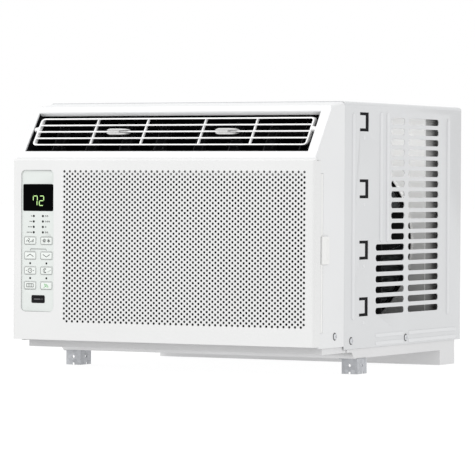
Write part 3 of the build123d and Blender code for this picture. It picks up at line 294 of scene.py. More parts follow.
def filled_mesh(name, shape):
    """A mesh from points in metres and blocks of faces."""
    points, faces = shape
    corners = np.concatenate([block.ravel() for block in faces]).astype(np.int32)
    sizes = np.concatenate([np.full(len(block), block.shape[1]) for block in faces])
    starts = np.concatenate([[0], np.cumsum(sizes)[:-1]]).astype(np.int32)
    mesh = bpy.data.meshes.new(name)
    mesh.vertices.add(len(points))
    mesh.vertices.foreach_set("co", points.astype(np.float32).ravel())
    mesh.loops.add(len(corners))
    mesh.loops.foreach_set("vertex_index", corners)
    mesh.polygons.add(len(sizes))
    mesh.polygons.foreach_set("loop_start", starts)
    mesh.update(calc_edges=True)
    mesh.validate()
    return mesh


def finished(mesh, body, slot, stands_for, look=None):
    """An object on its body, in place of the CAD nodes it stands for. Its finish has its slot's name,
    unless another look is named."""
    mesh.shade_smooth()
    mesh.set_sharp_from_angle(angle=CRISP)
    obj = bpy.data.objects.new(mesh.name, mesh)
    bpy.context.scene.collection.objects.link(obj)
    mesh.materials.clear()
    mesh.materials.append(finishes[look or slot])
    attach(obj, body)
    for node in stands_for:
        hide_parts(node)
    return obj


def new_piece(name, shape, body, slot, *stands_for, look=None):
    """A shape in drawing millimetres as a finished object of its own."""
    mesh = filled_mesh(name, (placed(shape[0]), shape[1]))
    print(name, len(mesh.vertices), "points", len(mesh.polygons), "faces")
    return finished(mesh, body, slot, stands_for, look)


print("edges over", round(math.degrees(CRISP)), "degrees stay crisp")

# %% [markdown]
# ## Softer copies of CAD pieces
# No moulded or pressed edge is perfectly sharp, and a sharp edge catches no light. A copy of a CAD
# node is merged, its flat areas become single faces, and a bevel rounds its long edges. The edges are
# chosen by the angle between their two faces and by their length, so small round holes stay as cut.

# %% Choose edges with arrays, then bevel
MERGE = 2e-6
FLAT = math.radians(1)
FOLD = math.radians(35)
LIGHT_EDGE = 0.3


def gathered(items, key, width, kind):
    """One property of every vertex, edge, loop or face, as an array of rows."""
    values = np.empty(len(items) * width, kind)
    items.foreach_get(key, values)
    return values.reshape(-1, width) if width > 1 else values


def edge_angles(mesh):
    """For every edge the angle between its two faces: the arc cosine of the product of their normals."""
    edge_of = gathered(mesh.loops, "edge_index", 1, np.int32)
    normals = gathered(mesh.polygons, "normal", 3, float)
    sizes = gathered(mesh.polygons, "loop_total", 1, np.int32)
    face_of = np.repeat(np.arange(len(sizes)), sizes)
    order = np.argsort(edge_of, kind="stable")
    counts = np.bincount(edge_of, minlength=len(mesh.edges))
    first = np.cumsum(counts) - counts
    pairs = np.flatnonzero(counts == 2)
    one, other = face_of[order[first[pairs]]], face_of[order[first[pairs] + 1]]
    angles = np.zeros(len(mesh.edges))
    angles[pairs] = np.arccos(np.clip((normals[one] * normals[other]).sum(1), -1, 1))
    return angles


def merged_copy(node, name):
    """A copy of a CAD node's mesh with its doubles merged and its flat areas made single faces."""
    mesh = nodes[node].data.copy()
    mesh.name = name
    work = bmesh.new()
    work.from_mesh(mesh)
    bmesh.ops.remove_doubles(work, verts=work.verts, dist=MERGE)
    bmesh.ops.dissolve_limit(work, angle_limit=FLAT, verts=work.verts, edges=work.edges)
    work.to_mesh(mesh)
    work.free()
    return mesh


def softened(node, name, body, slot, width, shortest, segments=2, leave=None, heavy=None):
    """A merged copy of a CAD node whose long sharp edges are rounded. leave(middles) marks edges to keep
    sharp; heavy(middles) marks the only ones that get the whole width, and the rest get three tenths."""
    mesh = merged_copy(node, name)
    ends = gathered(mesh.edges, "vertices", 2, np.int32)
    points = drawn(gathered(mesh.vertices, "co", 3, float))
    start, end = points[ends[:, 0]], points[ends[:, 1]]
    middles = (start + end) / 2
    chosen = (edge_angles(mesh) > FOLD) & (np.linalg.norm(end - start, axis=1) > shortest)
    if leave is not None:
        chosen &= ~leave(middles)
    strength = chosen.astype(np.float32)
    if heavy is not None:
        strength *= np.where(heavy(middles), 1.0, LIGHT_EDGE).astype(np.float32)
    weights = mesh.attributes.new("bevel_weight_edge", "FLOAT", "EDGE")
    weights.data.foreach_set("value", strength)
    obj = finished(mesh, body, slot, (node,))
    bevel = obj.modifiers.new("rounded edges", "BEVEL")
    bevel.limit_method = "WEIGHT"
    bevel.width = width * MM
    bevel.segments = segments
    bevel.use_clamp_overlap = False
    bevel.harden_normals = True
    print(name, "rounds", int(chosen.sum()), "of", len(mesh.edges), "edges")


print("folds over", round(math.degrees(FOLD)), "degrees are rounded")

# %% [markdown]
# ## Shared surface effects
# Plastic, paint, zinc and foam differ mostly in small patterns: mould grain, orange peel, crystals
# and cells. Each pattern is a node group that reads Object coordinates in metres, and puts out a
# shade, a height and a roughness mask. The shaders stay in the materials.

# %% Helpers for shader nodes


def wired(tree, kind, inputs, **settings):
    """One shader node: settings are its own properties, and an input takes a value or another's output."""
    node = tree.nodes.new("ShaderNode" + kind)
    for key, value in settings.items():
        setattr(node, key, value)
    for label, value in inputs.items():
        if isinstance(value, bpy.types.NodeSocket):
            tree.links.new(value, node.inputs[label])
        else:
            node.inputs[label].default_value = value
    return node


def sums(tree, operation, first, second):
    """One sum with two numbers or outputs: ADD or MULTIPLY."""
    return wired(tree, "Math", {0: first, 1: second}, operation=operation).outputs["Value"]


def weighed(tree, first, share, second, rest):
    """First times its share, plus second times the rest."""
    return sums(tree, "ADD", sums(tree, "MULTIPLY", first, share), sums(tree, "MULTIPLY", second, rest))


def ranged(tree, value, start, end):
    """A straight line through two (in, out) pairs, held at its ends."""
    inputs = {"Value": value, "From Min": start[0], "To Min": start[1], "From Max": end[0], "To Max": end[1]}
    return wired(tree, "MapRange", inputs).outputs["Result"]


def spread(tree, value, low, high):
    """Stretches the middle of a pattern so that low becomes 0 and high becomes 1."""
    return ranged(tree, value, (low, 0.0), (high, 1.0))


def noise(tree, place, scale, detail, rough):
    """A noise between 0 and 1."""
    inputs = {"Vector": place, "Scale": scale, "Detail": detail, "Roughness": rough}
    return wired(tree, "TexNoise", inputs).outputs["Fac"]


def cells(tree, place, scale, feature="F1"):
    """A Voronoi pattern: every point belongs to the nearest of scattered centres."""
    return wired(tree, "TexVoronoi", {"Vector": place, "Scale": scale}, feature=feature)


print("node helpers ready")

# %% [markdown]
# ## Five patterns
# A group's two inputs are the scale of its fine grain and that of its slow patches, both in cycles to
# the metre. Each function below takes them and gives back the shade, the height and the worn mask.

# %% Build the pattern groups


def mould_grain(tree, place, grain, patch):
    """Fine spark-eroded grain over a slow unevenness of the moulding."""
    fine = noise(tree, place, grain, 2.0, 0.6)
    slow = noise(tree, place, patch, 3.0, 0.5)
    both = weighed(tree, fine, 0.6, slow, 0.4)
    return spread(tree, slow, 0.32, 0.68), spread(tree, fine, 0.3, 0.7), spread(tree, both, 0.35, 0.65)


def orange_peel(tree, place, grain, patch):
    """Powder coat: low round bumps a millimetre or two across, and a faint cloudiness."""
    bumps = cells(tree, place, grain, "SMOOTH_F1")
    bumps.inputs["Smoothness"].default_value = 1.0
    slow = noise(tree, place, patch, 4.0, 0.5)
    height = spread(tree, bumps.outputs["Distance"], 0.0, 0.6)
    return spread(tree, slow, 0.3, 0.7), height, spread(tree, slow, 0.4, 0.6)


def zinc_spangle(tree, place, grain, patch):
    """Galvanised sheet: flat crystals, each with its own grey, under a fine streak."""
    crystals = cells(tree, place, grain)
    greys = wired(tree, "SeparateColor", {"Color": crystals.outputs["Color"]})
    shade = weighed(tree, greys.outputs["Red"], 0.7, noise(tree, place, patch, 2.0, 0.5), 0.3)
    return shade, spread(tree, crystals.outputs["Distance"], 0.0, 0.8), greys.outputs["Green"]


def drawn_metal(tree, place, grain, patch):
    """Rolled or drawn metal: a noise stretched a hundred times along X gives fine parallel lines."""
    squeezed = wired(tree, "Mapping", {"Vector": place, "Scale": (0.01, 1.0, 1.0)}).outputs["Vector"]
    lines = spread(tree, noise(tree, squeezed, grain, 2.0, 0.5), 0.3, 0.7)
    return spread(tree, noise(tree, place, patch, 4.0, 0.6), 0.3, 0.7), lines, lines


def foam_cells(tree, place, grain, patch):
    """Open-cell foam: the distance to the nearest cell centre makes pores."""
    pores = cells(tree, place, grain).outputs["Distance"]
    return spread(tree, pores, 0.0, 0.7), spread(tree, pores, 0.1, 0.6), noise(tree, place, patch, 3.0, 0.6)


def pattern_group(name, work, grain, patch):
    """A shader group with two named scales, whose three outputs are what the work gives back."""
    tree = bpy.data.node_groups.new(name, "ShaderNodeTree")
    for label, value in (("Grain Scale", grain), ("Patch Scale", patch)):
        socket = tree.interface.new_socket(label, in_out="INPUT", socket_type="NodeSocketFloat")
        socket.default_value = value
    for label in ("Shade", "Height", "Worn"):
        tree.interface.new_socket(label, in_out="OUTPUT", socket_type="NodeSocketFloat")
    entry = tree.nodes.new("NodeGroupInput")
    place = tree.nodes.new("ShaderNodeTexCoord").outputs["Object"]
    results = work(tree, place, *entry.outputs[:2])
    leave = tree.nodes.new("NodeGroupOutput")
    for socket, result in zip(leave.inputs, results):
        tree.links.new(result, socket)
    return tree


patterns = {
    "mould": pattern_group("mould grain", mould_grain, 1800.0, 9.0),
    "peel": pattern_group("orange peel", orange_peel, 420.0, 7.0),
    "spangle": pattern_group("zinc spangle", zinc_spangle, 160.0, 1400.0),
    "drawn": pattern_group("drawn metal", drawn_metal, 2600.0, 30.0),
    "foam": pattern_group("foam cells", foam_cells, 900.0, 60.0),
}
print("pattern groups", sorted(patterns))

# %% [markdown]
# ## Finishes
# A finish is a base colour with a light and a dark side, a span of roughness and a relief in
# millimetres, all led by one pattern group. Numbers that are the same everywhere, such as metalness,
# are set on the shader itself, where an exporter can read them.

# %% One function for every finish
RELIEF_STRENGTH = 0.5


def finish(name, pattern, colour, rough, contrast, relief, metal=0.0, shine=0.5, grain=None, patch=None):
    """A Principled finish: colour swings by contrast, roughness between two values, relief in millimetres."""
    material = bpy.data.materials.new(name)
    material.use_nodes = True
    tree = material.node_tree
    texture = tree.nodes.new("ShaderNodeGroup")
    texture.node_tree = patterns[pattern]
    for label, value in (("Grain Scale", grain), ("Patch Scale", patch)):
        if value is not None:
            texture.inputs[label].default_value = value
    dark = [channel * (1 - contrast) for channel in colour]
    light = [min(channel * (1 + contrast), 1.0) for channel in colour]
    tones = {"A": (*dark, 1.0), "B": (*light, 1.0), "Factor": texture.outputs["Shade"]}
    bump = {"Strength": RELIEF_STRENGTH, "Distance": relief * MM, "Height": texture.outputs["Height"]}
    looks = {
        "Base Color": wired(tree, "Mix", tones, data_type="RGBA").outputs["Result"],
        "Roughness": ranged(tree, texture.outputs["Worn"], (0.0, rough[0]), (1.0, rough[1])),
        "Normal": wired(tree, "Bump", bump).outputs["Normal"],
    }
    shader = tree.nodes["Principled BSDF"]
    shader.inputs["Metallic"].default_value = metal
    shader.inputs["Specular IOR Level"].default_value = shine
    for label, output in looks.items():
        tree.links.new(output, shader.inputs[label])
    finishes[name] = material


print("relief strength", RELIEF_STRENGTH)

# %% [markdown]
# ## The list of finishes
# Each row gives the colour, the span of roughness, the contrast and the relief, and then what is special
# about it. Whites differ by a percent or two, as neighbouring mouldings do. Blacks have little shine, so
# that a bright room doesn't turn them grey.

# %% Plastics, paints, metals, foams and inks
FINISHES = {
    "mould": {
        "panel_white": ((0.685, 0.687, 0.685), (0.34, 0.44), 0.012, 0.015, {}),
        "housing_white": ((0.685, 0.69, 0.695), (0.36, 0.46), 0.012, 0.015, {}),
        "louvre_white": ((0.84, 0.84, 0.84), (0.30, 0.40), 0.01, 0.01, {}),
        "strip_white": ((0.64, 0.67, 0.65), (0.38, 0.46), 0.012, 0.01, {}),
        "key_white": ((0.70, 0.73, 0.705), (0.34, 0.42), 0.012, 0.01, {}),
        "key_black": ((0.006, 0.006, 0.0065), (0.10, 0.18), 0.1, 0.004, {"shine": 0.12}),
        "window_black": ((0.001, 0.001, 0.0012), (0.05, 0.09), 0.1, 0.001, {"shine": 0.02, "patch": 30.0}),
        "filter_plastic": ((0.74, 0.74, 0.73), (0.40, 0.50), 0.02, 0.02, {}),
        "duct_black": ((0.008, 0.008, 0.009), (0.78, 0.90), 0.2, 0.03, {"shine": 0.08}),
        "tab_grey": ((0.62, 0.62, 0.615), (0.38, 0.46), 0.02, 0.015, {}),
        "vane_grey": ((0.024, 0.024, 0.026), (0.5, 0.6), 0.1, 0.02, {"shine": 0.3}),
        # shroud_grey gets painted shade later: darker low down and behind its front wall
        "shroud_grey": ((0.90, 0.90, 0.89), (0.42, 0.55), 0.02, 0.02, {}),
        "fan_black": ((0.008, 0.008, 0.009), (0.38, 0.5), 0.15, 0.02, {"shine": 0.2}),
        "board_green": ((0.02, 0.12, 0.045), (0.30, 0.42), 0.15, 0.02, {"grain": 900.0}),
        "led_clear": ((0.006, 0.007, 0.006), (0.12, 0.2), 0.1, 0.003, {"shine": 0.15}),
        # rubber_black also makes the rings under the side screws, painted shade round their heads
        "rubber_black": ((0.02, 0.02, 0.02), (0.62, 0.78), 0.2, 0.05, {"grain": 700.0}),
        "filter_net": ((0.02, 0.021, 0.023), (0.6, 0.75), 0.2, 0.03, {"shine": 0.2}),
        "ink_grey": ((0.010, 0.011, 0.010), (0.45, 0.6), 0.15, 0.004, {"shine": 0.15}),
        "ink_pale": ((0.10, 0.10, 0.105), (0.4, 0.5), 0.1, 0.003, {}),
        "ink_green": ((0.13, 0.42, 0.14), (0.45, 0.6), 0.12, 0.004, {}),
        "digit_green": ((0.30, 0.45, 0.16), (0.4, 0.5), 0.08, 0.003, {"patch": 260.0}),
    },
    "peel": {
        "cabinet_paint": ((0.595, 0.602, 0.61), (0.32, 0.44), 0.02, 0.03, {}),
        # the beads' colour is the cabinet paint a few percent lighter: a painted highlight
        "bead_painted_highlight": ((0.643, 0.650, 0.659), (0.32, 0.44), 0.02, 0.03, {}),
        "pan_paint": ((0.62, 0.62, 0.625), (0.34, 0.46), 0.03, 0.03, {}),
        "compressor_black": ((0.02, 0.02, 0.022), (0.28, 0.42), 0.2, 0.05, {}),
    },
    "spangle": {
        "galvanised": ((0.44, 0.45, 0.47), (0.32, 0.50), 0.16, 0.02, {"metal": 0.6}),
        "motor_steel": ((0.42, 0.43, 0.44), (0.30, 0.46), 0.12, 0.02, {"metal": 0.8, "grain": 260.0}),
        "screw_zinc": ((0.60, 0.61, 0.63), (0.22, 0.36), 0.10, 0.01, {"metal": 0.9, "grain": 700.0}),
    },
    "drawn": {
        "fin_aluminium": ((0.66, 0.68, 0.70), (0.48, 0.62), 0.06, 0.01, {"metal": 0.55}),
        "can_aluminium": ((0.66, 0.67, 0.69), (0.22, 0.34), 0.06, 0.01, {"metal": 0.95}),
        "steel_bright": ((0.58, 0.58, 0.58), (0.18, 0.32), 0.08, 0.01, {"metal": 1.0}),
        "copper": ((0.62, 0.26, 0.13), (0.22, 0.40), 0.16, 0.01, {"metal": 1.0, "grain": 1200.0}),
    },
    "foam": {
        # foam_black is also painted shade on the bulkhead, the air channel and the pads behind the clip slots
        "foam_black": ((0.010, 0.010, 0.011), (0.85, 0.95), 0.5, 0.25, {"shine": 0.1}),
        "foam_white": ((0.78, 0.78, 0.765), (0.75, 0.88), 0.05, 0.12, {"grain": 420.0}),
    },
}
for pattern, rows in FINISHES.items():
    for name, (colour, rough, contrast, relief, special) in rows.items():
        finish(name, pattern, colour, rough, contrast, relief, **special)
print("finishes", len(finishes))

# %% [markdown]
# ## Light from the display
# The two digits shine through a tinted window. Their finish is a dim plastic with a yellow-green
# emission, set on the shader itself because it is the same all over.

# %% The lit digits' finish
digit_shader = finishes["digit_green"].node_tree.nodes["Principled BSDF"]
digit_shader.inputs["Emission Color"].default_value = (0.55, 0.90, 0.35, 1.0)
digit_shader.inputs["Emission Strength"].default_value = 0.7
print("digits glow at", round(digit_shader.inputs["Emission Strength"].default_value, 2))

# %% [markdown]
# ## Every CAD node gets its slot's finish
# The imported record names a material slot for each node. A node that keeps its CAD shape takes the
# finish of the same name. Only the bulkhead, the wall between the indoor and the outdoor side, is
# dressed otherwise: its black foam is painted shade, so that it shows dark through the cabinet's slots.

# %% Dress the carried-over nodes
node_slots = {part["node"]: part["material_slot"] for part in frame["record"]["subparts"]}
for node, obj in nodes.items():
    for material_slot in obj.material_slots:
        # the bulkhead's black foam is painted shade behind the cabinet's slots
        material_slot.material = finishes["foam_black" if node == "bulkhead" else node_slots[node]]
print("dressed", len(node_slots), "nodes")

# %% [markdown]
# ## Painted shade on the fan shroud
# The shroud is light plastic, and painted shade darkens it low down and on the flange behind its front
# wall. Two masks, one along Z and one along Y in metres, darken the base colour by mixing it with black.

# %% Paint shade on the shroud
SHADE_RISE = ((0.08, 0.38), (0.23, 1.0))
SHADE_BACK = ((0.1390, 1.0), (0.1420, 0.45))


def painted_shade(material, rise, back):
    """Painted shade: multiplies the base colour by two masks, each a line through two (metres, value) pairs.
    """
    tree = material.node_tree
    base = tree.nodes["Principled BSDF"].inputs["Base Color"]
    place = tree.nodes.new("ShaderNodeTexCoord").outputs["Object"]
    axes = wired(tree, "SeparateXYZ", {"Vector": place}).outputs
    lit_share = sums(tree, "MULTIPLY", ranged(tree, axes["Z"], *rise), ranged(tree, axes["Y"], *back))
    tones = {"A": (0.0, 0.0, 0.0, 1.0), "B": base.links[0].from_socket, "Factor": lit_share}
    tree.links.new(wired(tree, "Mix", tones, data_type="RGBA").outputs["Result"], base)


# painted shade on the shroud and its rolled edge
painted_shade(finishes["shroud_grey"], SHADE_RISE, SHADE_BACK)
print("dust from", SHADE_RISE[0][0], "to", SHADE_RISE[1][0], "metres up")

# %% [markdown]
# ## The intake screen
# The real screen is one moulding with thousands of round holes in staggered rows. A boolean cut per
# hole would be slow and messy. Staggered rows tile the plane with rhombi instead, one round each hole,
# so one rhombus with a hole is drawn and repeated as an array. Shared corners are merged at the end.

# %% One cell: a rhombus round a hole
HOLE_STEP = np.array([4.32, 3.51])
HOLE_RADIUS = 1.86
HOLE_SIDES = 12
SCREEN_THICK = 1.2
COLUMNS, ROWS = 87, 60
screen_low, screen_high = drawn_box("panel_screen")
screen_middle = middle_of("panel_screen")[[0, 2]]
screen_face, screen_back = screen_low[1], screen_low[1] + SCREEN_THICK
SCREEN_DEPTHS = (screen_face, screen_face, screen_back, screen_back)


def rhombus_outline():
    """Twelve points round a rhombus: a third of each side at a time between the tips (1, 0) and (0, 1)."""
    tips = np.array([(1, 0), (0, 1), (-1, 0), (0, -1)], float)
    share = np.array([0, 1 / 3, 2 / 3])[None, :, None]
    return (tips[:, None] * (1 - share) + np.roll(tips, -1, 0)[:, None] * share).reshape(-1, 2)


def plate(open_loop, walled_loop):
    """A flat plate between two loops of equal length, front and back, with a wall along the second only."""
    rings = at_depths([open_loop, walled_loop, walled_loop, open_loop], SCREEN_DEPTHS)
    return rings.reshape(-1, 3), [grid_faces(4, len(open_loop))]


hole_angle = circle(HOLE_SIDES)
hole_ring = HOLE_RADIUS * np.stack([np.cos(hole_angle), np.sin(hole_angle)], -1)
cell_points, (cell_quads,) = plate(rhombus_outline() * HOLE_STEP, hole_ring)
cell = (cell_points, [cell_quads[:, ::-1]])
print("one cell", len(cell[0]), "points", len(cell[1][0]), "faces")

# %% [markdown]
# ## The field of cells
# A lattice point is pierced where its column and row add up to an even number. Along each side the
# rhombi leave a row of gaps: half rhombi without a hole fill them, and quarters fill the corners.

# %% Repeat the cell and fill the edges
column, row = np.meshgrid(np.arange(COLUMNS), np.arange(ROWS), indexing="ij")
pierced = (column + row) % 2 == 0


def lattice_place(columns, rows):
    """(x, z) of lattice points: steps from the middle of the screen, rows counted from the top."""
    from_middle = np.stack([columns - (COLUMNS - 1) / 2, (ROWS - 1) / 2 - rows], -1)
    return screen_middle + from_middle * HOLE_STEP


def edge_fillers():
    """Unpierced rhombi centred on the field's border, cut to the part inside it, front and back."""
    border = [(c, r) for c in range(-1, COLUMNS + 1) for r in (-1, ROWS) if (c + r) % 2 == 0]
    border += [(c, r) for c in (-1, COLUMNS) for r in range(ROWS) if (c + r) % 2 == 0]
    shapes = []
    outline = rhombus_outline()
    for c, r in border:
        corners = np.array([c, r]) + outline * (1, -1)
        inside = ((corners > -1.001) & (corners < np.array([COLUMNS, ROWS]) + 0.001)).all(1)
        start = np.flatnonzero(inside & ~np.roll(inside, 1))[0]
        corners = corners[(start + np.arange(int(inside.sum()))) % len(outline)]
        if c in (-1, COLUMNS) and r in (-1, ROWS):
            corners = np.vstack([corners, (c, r)])
        loop = lattice_place(*corners.T)
        face = np.arange(len(loop))[None]
        plates = at_depths([loop, loop], (screen_face, screen_back))
        shapes.append((plates.reshape(-1, 3), [face, face[:, ::-1] + len(loop)]))
    return joined(shapes)


field = repeated(cell, np.insert(lattice_place(column[pierced], row[pierced]), 1, 0.0, axis=1))
fillers = edge_fillers()
print("holes", int(pierced.sum()), "edge fillers", len(fillers[1]) // 2)

# %% [markdown]
# ## The screen's rim
# A frame leads from the field's border out to the panel's opening. Each point of the border is pushed
# out until it lies on the opening, so that the frame is one ring of quads. Then all is welded together.

# %% Rim and weld
WELD = 0.001


def border_loop():
    """The field's border in order, at every lattice corner on it, as (x, z) pairs turning left."""
    top = [(k, -1) for k in range(COLUMNS, -2, -1)]
    left = [(-1, k) for k in range(0, ROWS + 1)]
    bottom = [(k, ROWS) for k in range(0, COLUMNS + 1)]
    right = [(COLUMNS, k) for k in range(ROWS - 1, -1, -1)]
    steps = np.array(top + left + bottom + right)
    corner = np.isin(steps[:, 0], (-1, COLUMNS)) & np.isin(steps[:, 1], (-1, ROWS))
    return lattice_place(*steps[(steps.sum(1) % 2 == 1) | corner].T)


def welded(shape):
    """Merges points that round to the same thousandth of a millimetre."""
    points, faces = shape
    rounded = np.round(points / WELD).astype(np.int64)
    _, first, same = np.unique(rounded, axis=0, return_index=True, return_inverse=True)
    return points[first], [same.ravel()[block] for block in faces]


border = border_loop()
half_field = np.abs(border - screen_middle).max(0)
half_screen = (screen_high - screen_low)[[0, 2]] / 2
opening = screen_middle + (border - screen_middle) * half_screen / half_field
rim = plate(border, opening)
screen = outward(welded(joined([field, fillers, rim])))
print("screen encloses", round(enclosed_volume(screen) / 1000, 1), "cubic centimetres")
new_piece("intake_screen", screen, "root", "panel_white", "panel_screen")

# %% [markdown]
# ## The front panel and its strip
# Both are hollow mouldings with straight edges, and their CAD shapes are right, so softened copies do.
# The panel's outer rim gets a wide radius, and the edge round the screen stays sharp, because there the
# two are one surface. The housing behind it keeps its CAD shape: it is drawn plate by plate, and its
# plates meet face to face.

# %% Soften the panel and the strip


def beside_screen(middles):
    """Edges on the border of the screen's opening."""
    flat, low, high = middles[:, [0, 2]], screen_low[[0, 2]], screen_high[[0, 2]]
    on_border = ((np.abs(flat - low) < 1) | (np.abs(flat - high) < 1)).any(1)
    return on_border & ((flat > low - 1) & (flat < high + 1)).all(1)


def outer_rim(middles):
    """Edges round the panel's front face."""
    x, y, z = middles.T
    half_width, _, height = drawn(panel_high)
    return ((np.abs(x) > half_width - 0.1) | (z > height - 0.1) | (z < 0.1)) & (y < 0.1)


softened("front_panel", "front_panel_shell", "root", "panel_white", 2.3, 12.0, 4, beside_screen, outer_rim)
softened("control_bezel", "control_strip", "root", "strip_white", 0.5, 12.0)

# %% [markdown]
# ## Directions on the slope
# The louvres, their tabs and the mouth's lip lie on the sloped face over the panel. Three directions
# describe it: across, up the slope, and square into it. Points are given in those, and come out as
# drawing coordinates.

# %% The slope's own directions
SLOPE_FOOT = np.array([0.0, 7.5, 252.6])
SLOPE_HEAD = np.array([0.0, 58.5, 324.1])
UP = (SLOPE_HEAD - SLOPE_FOOT) / np.linalg.norm(SLOPE_HEAD - SLOPE_FOOT)
INWARD = np.array([0.0, UP[2], -UP[1]])
ACROSS = np.array([1.0, 0.0, 0.0])
DUCT_WALL = 2.0
MOUTH_TOP = 78.3


def on_slope(x, up, depth):
    """The foot, plus x across, so far up the slope and so deep behind it."""
    x, up, depth = np.broadcast_arrays(np.asarray(x, float), up, depth)
    return SLOPE_FOOT + x[..., None] * ACROSS + up[..., None] * UP + depth[..., None] * INWARD


duct_low, duct_high = drawn_box("discharge_duct")
mouth_x = inset((duct_low[0], duct_high[0]), DUCT_WALL)
print("mouth from", round(mouth_x[0], 1), "to", round(mouth_x[1], 1))

# %% [markdown]
# ## The louvre grille
# Five thin blades lie level, one above the other up the slope, in a ring with rounded corners. Each
# bar is a round-nosed section carried along a path: straight for a blade, a rounded rectangle for the
# ring. The bars run level into the duct, not square to the slope.

# %% Bars with a round nose
BLADE_FIRST, BLADE_STEP, BLADE_COUNT = 23.2, 11.1, 5
BLADE_THICK, BLADE_DEEP = 2.1, 11.5
BLADE_UP = BLADE_FIRST + BLADE_STEP * np.arange(BLADE_COUNT)
BAR_DEPTH = 1.0
STRUT_BEHIND = 1.5
NOSE_STEPS = 7


def nose_section(thick, deep):
    """A closed section as (height, depth) pairs: half a circle in front, then sides that close in."""
    angle = np.linspace(np.pi / 2, -np.pi / 2, NOSE_STEPS)
    nose = np.stack([thick / 2 * np.sin(angle), thick / 2 * (1 - np.cos(angle))], -1)
    tail = [(-thick / 3, deep - 0.4), (-thick / 5, deep), (thick / 5, deep), (thick / 3, deep - 0.4)]
    return np.concatenate([nose, tail])


def level_bar(x, up):
    """A blade along X whose section lies level: height is Z, and depth is Y from the slope."""
    section = nose_section(BLADE_THICK, BLADE_DEEP)
    offsets = np.insert(section[:, ::-1], 0, 0.0, axis=1)
    return swept(on_slope(x, up, BAR_DEPTH)[:, None, :] + offsets[None])


def strut(x, thick, deep):
    """An upright bar between the first and last blade, its nose a little behind the blades' noses."""
    section = nose_section(thick, deep) + (0.0, STRUT_BEHIND)
    offsets = np.insert(section, 2, 0.0, axis=1)
    return swept(on_slope(x, BLADE_UP[[0, -1]], BAR_DEPTH)[:, None, :] + offsets[None])


def ring_bar(x, up, radius, thick, deep):
    """The nose section carried round a rounded rectangle on the slope, thick in the slope's plane."""
    flat = carried(rounded_rectangle(x, up, radius, NOSE_STEPS), nose_section(thick, deep))
    points = on_slope(flat[..., 0], flat[..., 2], BAR_DEPTH)
    points[..., 1] += flat[..., 1]
    return swept(points, closed=True)


print("blades at", BLADE_UP.round(1), "up the slope")

# %% [markdown]
# ## The grille's ring, struts and pins
# Outside the ring a pin on each side turns in the duct's wall, so that the whole grille tilts. A pin is
# a lathed profile with a shoulder against the ring and a thin end in the wall.

# %% Put the grille together
RING_GAP = 6.5
RING_RADIUS, RING_THICK, RING_DEEP = 4.5, 2.5, 9.6
RING_SINK, BLADE_SINK = 1.3, 1.5
STRUT_X = (-125.5, -46.0, 44.3, 123.8)
STRUT_THICK, STRUT_DEEP = 1.9, 6.0
PIN_UP, PIN_DEPTH = 51.5, 5.0
SHOULDER = [(-2.0, HAIR), (-2.0, 4.2), (1.0, 4.2), (1.4, 3.8)]
PIN_END = [(-1.2, 3.4), (-1.0, 2.0), (1.5, 2.0), (1.5, HAIR)]
ring_x = inset(mouth_x, RING_GAP)
ring_up = (BLADE_UP[0], BLADE_UP[-1])
ring = ring_bar(inset(ring_x, RING_SINK), ring_up, RING_RADIUS, RING_THICK, RING_DEEP)
blades = [level_bar(inset(ring_x, BLADE_SINK), up) for up in BLADE_UP[1:-1]]
struts = [strut(x, STRUT_THICK, STRUT_DEEP) for x in STRUT_X]
pins = []
for way, bar, wall in ((-1, ring_x[0], mouth_x[0]), (1, ring_x[1], mouth_x[1])):
    profile = [(bar + way * step, radius) for step, radius in SHOULDER]
    profile += [(wall + way * step, radius) for step, radius in PIN_END]
    pins.append(lathe(0, profile, on_slope(0.0, PIN_UP, PIN_DEPTH)[1:], 20))
grille = joined([ring, *blades, *struts, *pins])
new_piece("louvre_grille", grille, "louvres", "louvre_white", "louvre_frame")

# %% [markdown]
# ## Thumb tabs
# A thumb tab wraps the middle blade and slides along it. From the front it is a pair of jaws: a
# chamfered grip on the left, and two prongs that taper to the right. A bridge with ribs joins them in
# front of the blade, and two pegs behind reach to the vane that the tab turns.

# %% The tabs' jaws
JAW_HEIGHT = 3.0
JAW_DEEP = 12.6
JAW_FROM_BLADE = 1.3
JAW_FORWARD = 3.6
RIB_STEP, RIB_COUNT = 2.6, 6
PEG_APART = 6.1
JAW_STATIONS = np.array([0.0, 0.06, 0.12, 0.62, 0.80, 0.93, 1.0])
JAW_OUTER = np.array([0.45, 0.85, 1.0, 1.0, 0.93, 0.62, 0.25])
JAW_INNER = np.array([0.0, 0.0, 0.0, 0.0, 0.10, 0.16, 0.18])
JAW_CORNERS = np.array([(0.15, 0.0), (0.0, 0.3), (0.0, 0.75), (0.22, 1.0), (1.0, 1.0), (1.0, 0.0)])


def jaw(x, z, front, way):
    """One jaw of a tab: a bar along X between an inner and an outer height, both changing along it."""
    place = (x[0] + JAW_STATIONS * (x[1] - x[0]))[:, None]
    low, high = JAW_INNER[:, None], JAW_OUTER[:, None]
    rise = JAW_HEIGHT * (low + JAW_CORNERS[:, 1] * (high - low))
    depth = front + JAW_CORNERS[:, 0] * JAW_DEEP
    rings = np.broadcast_arrays(place, depth, z + way * (JAW_FROM_BLADE + rise))
    return swept(np.stack(rings, -1))


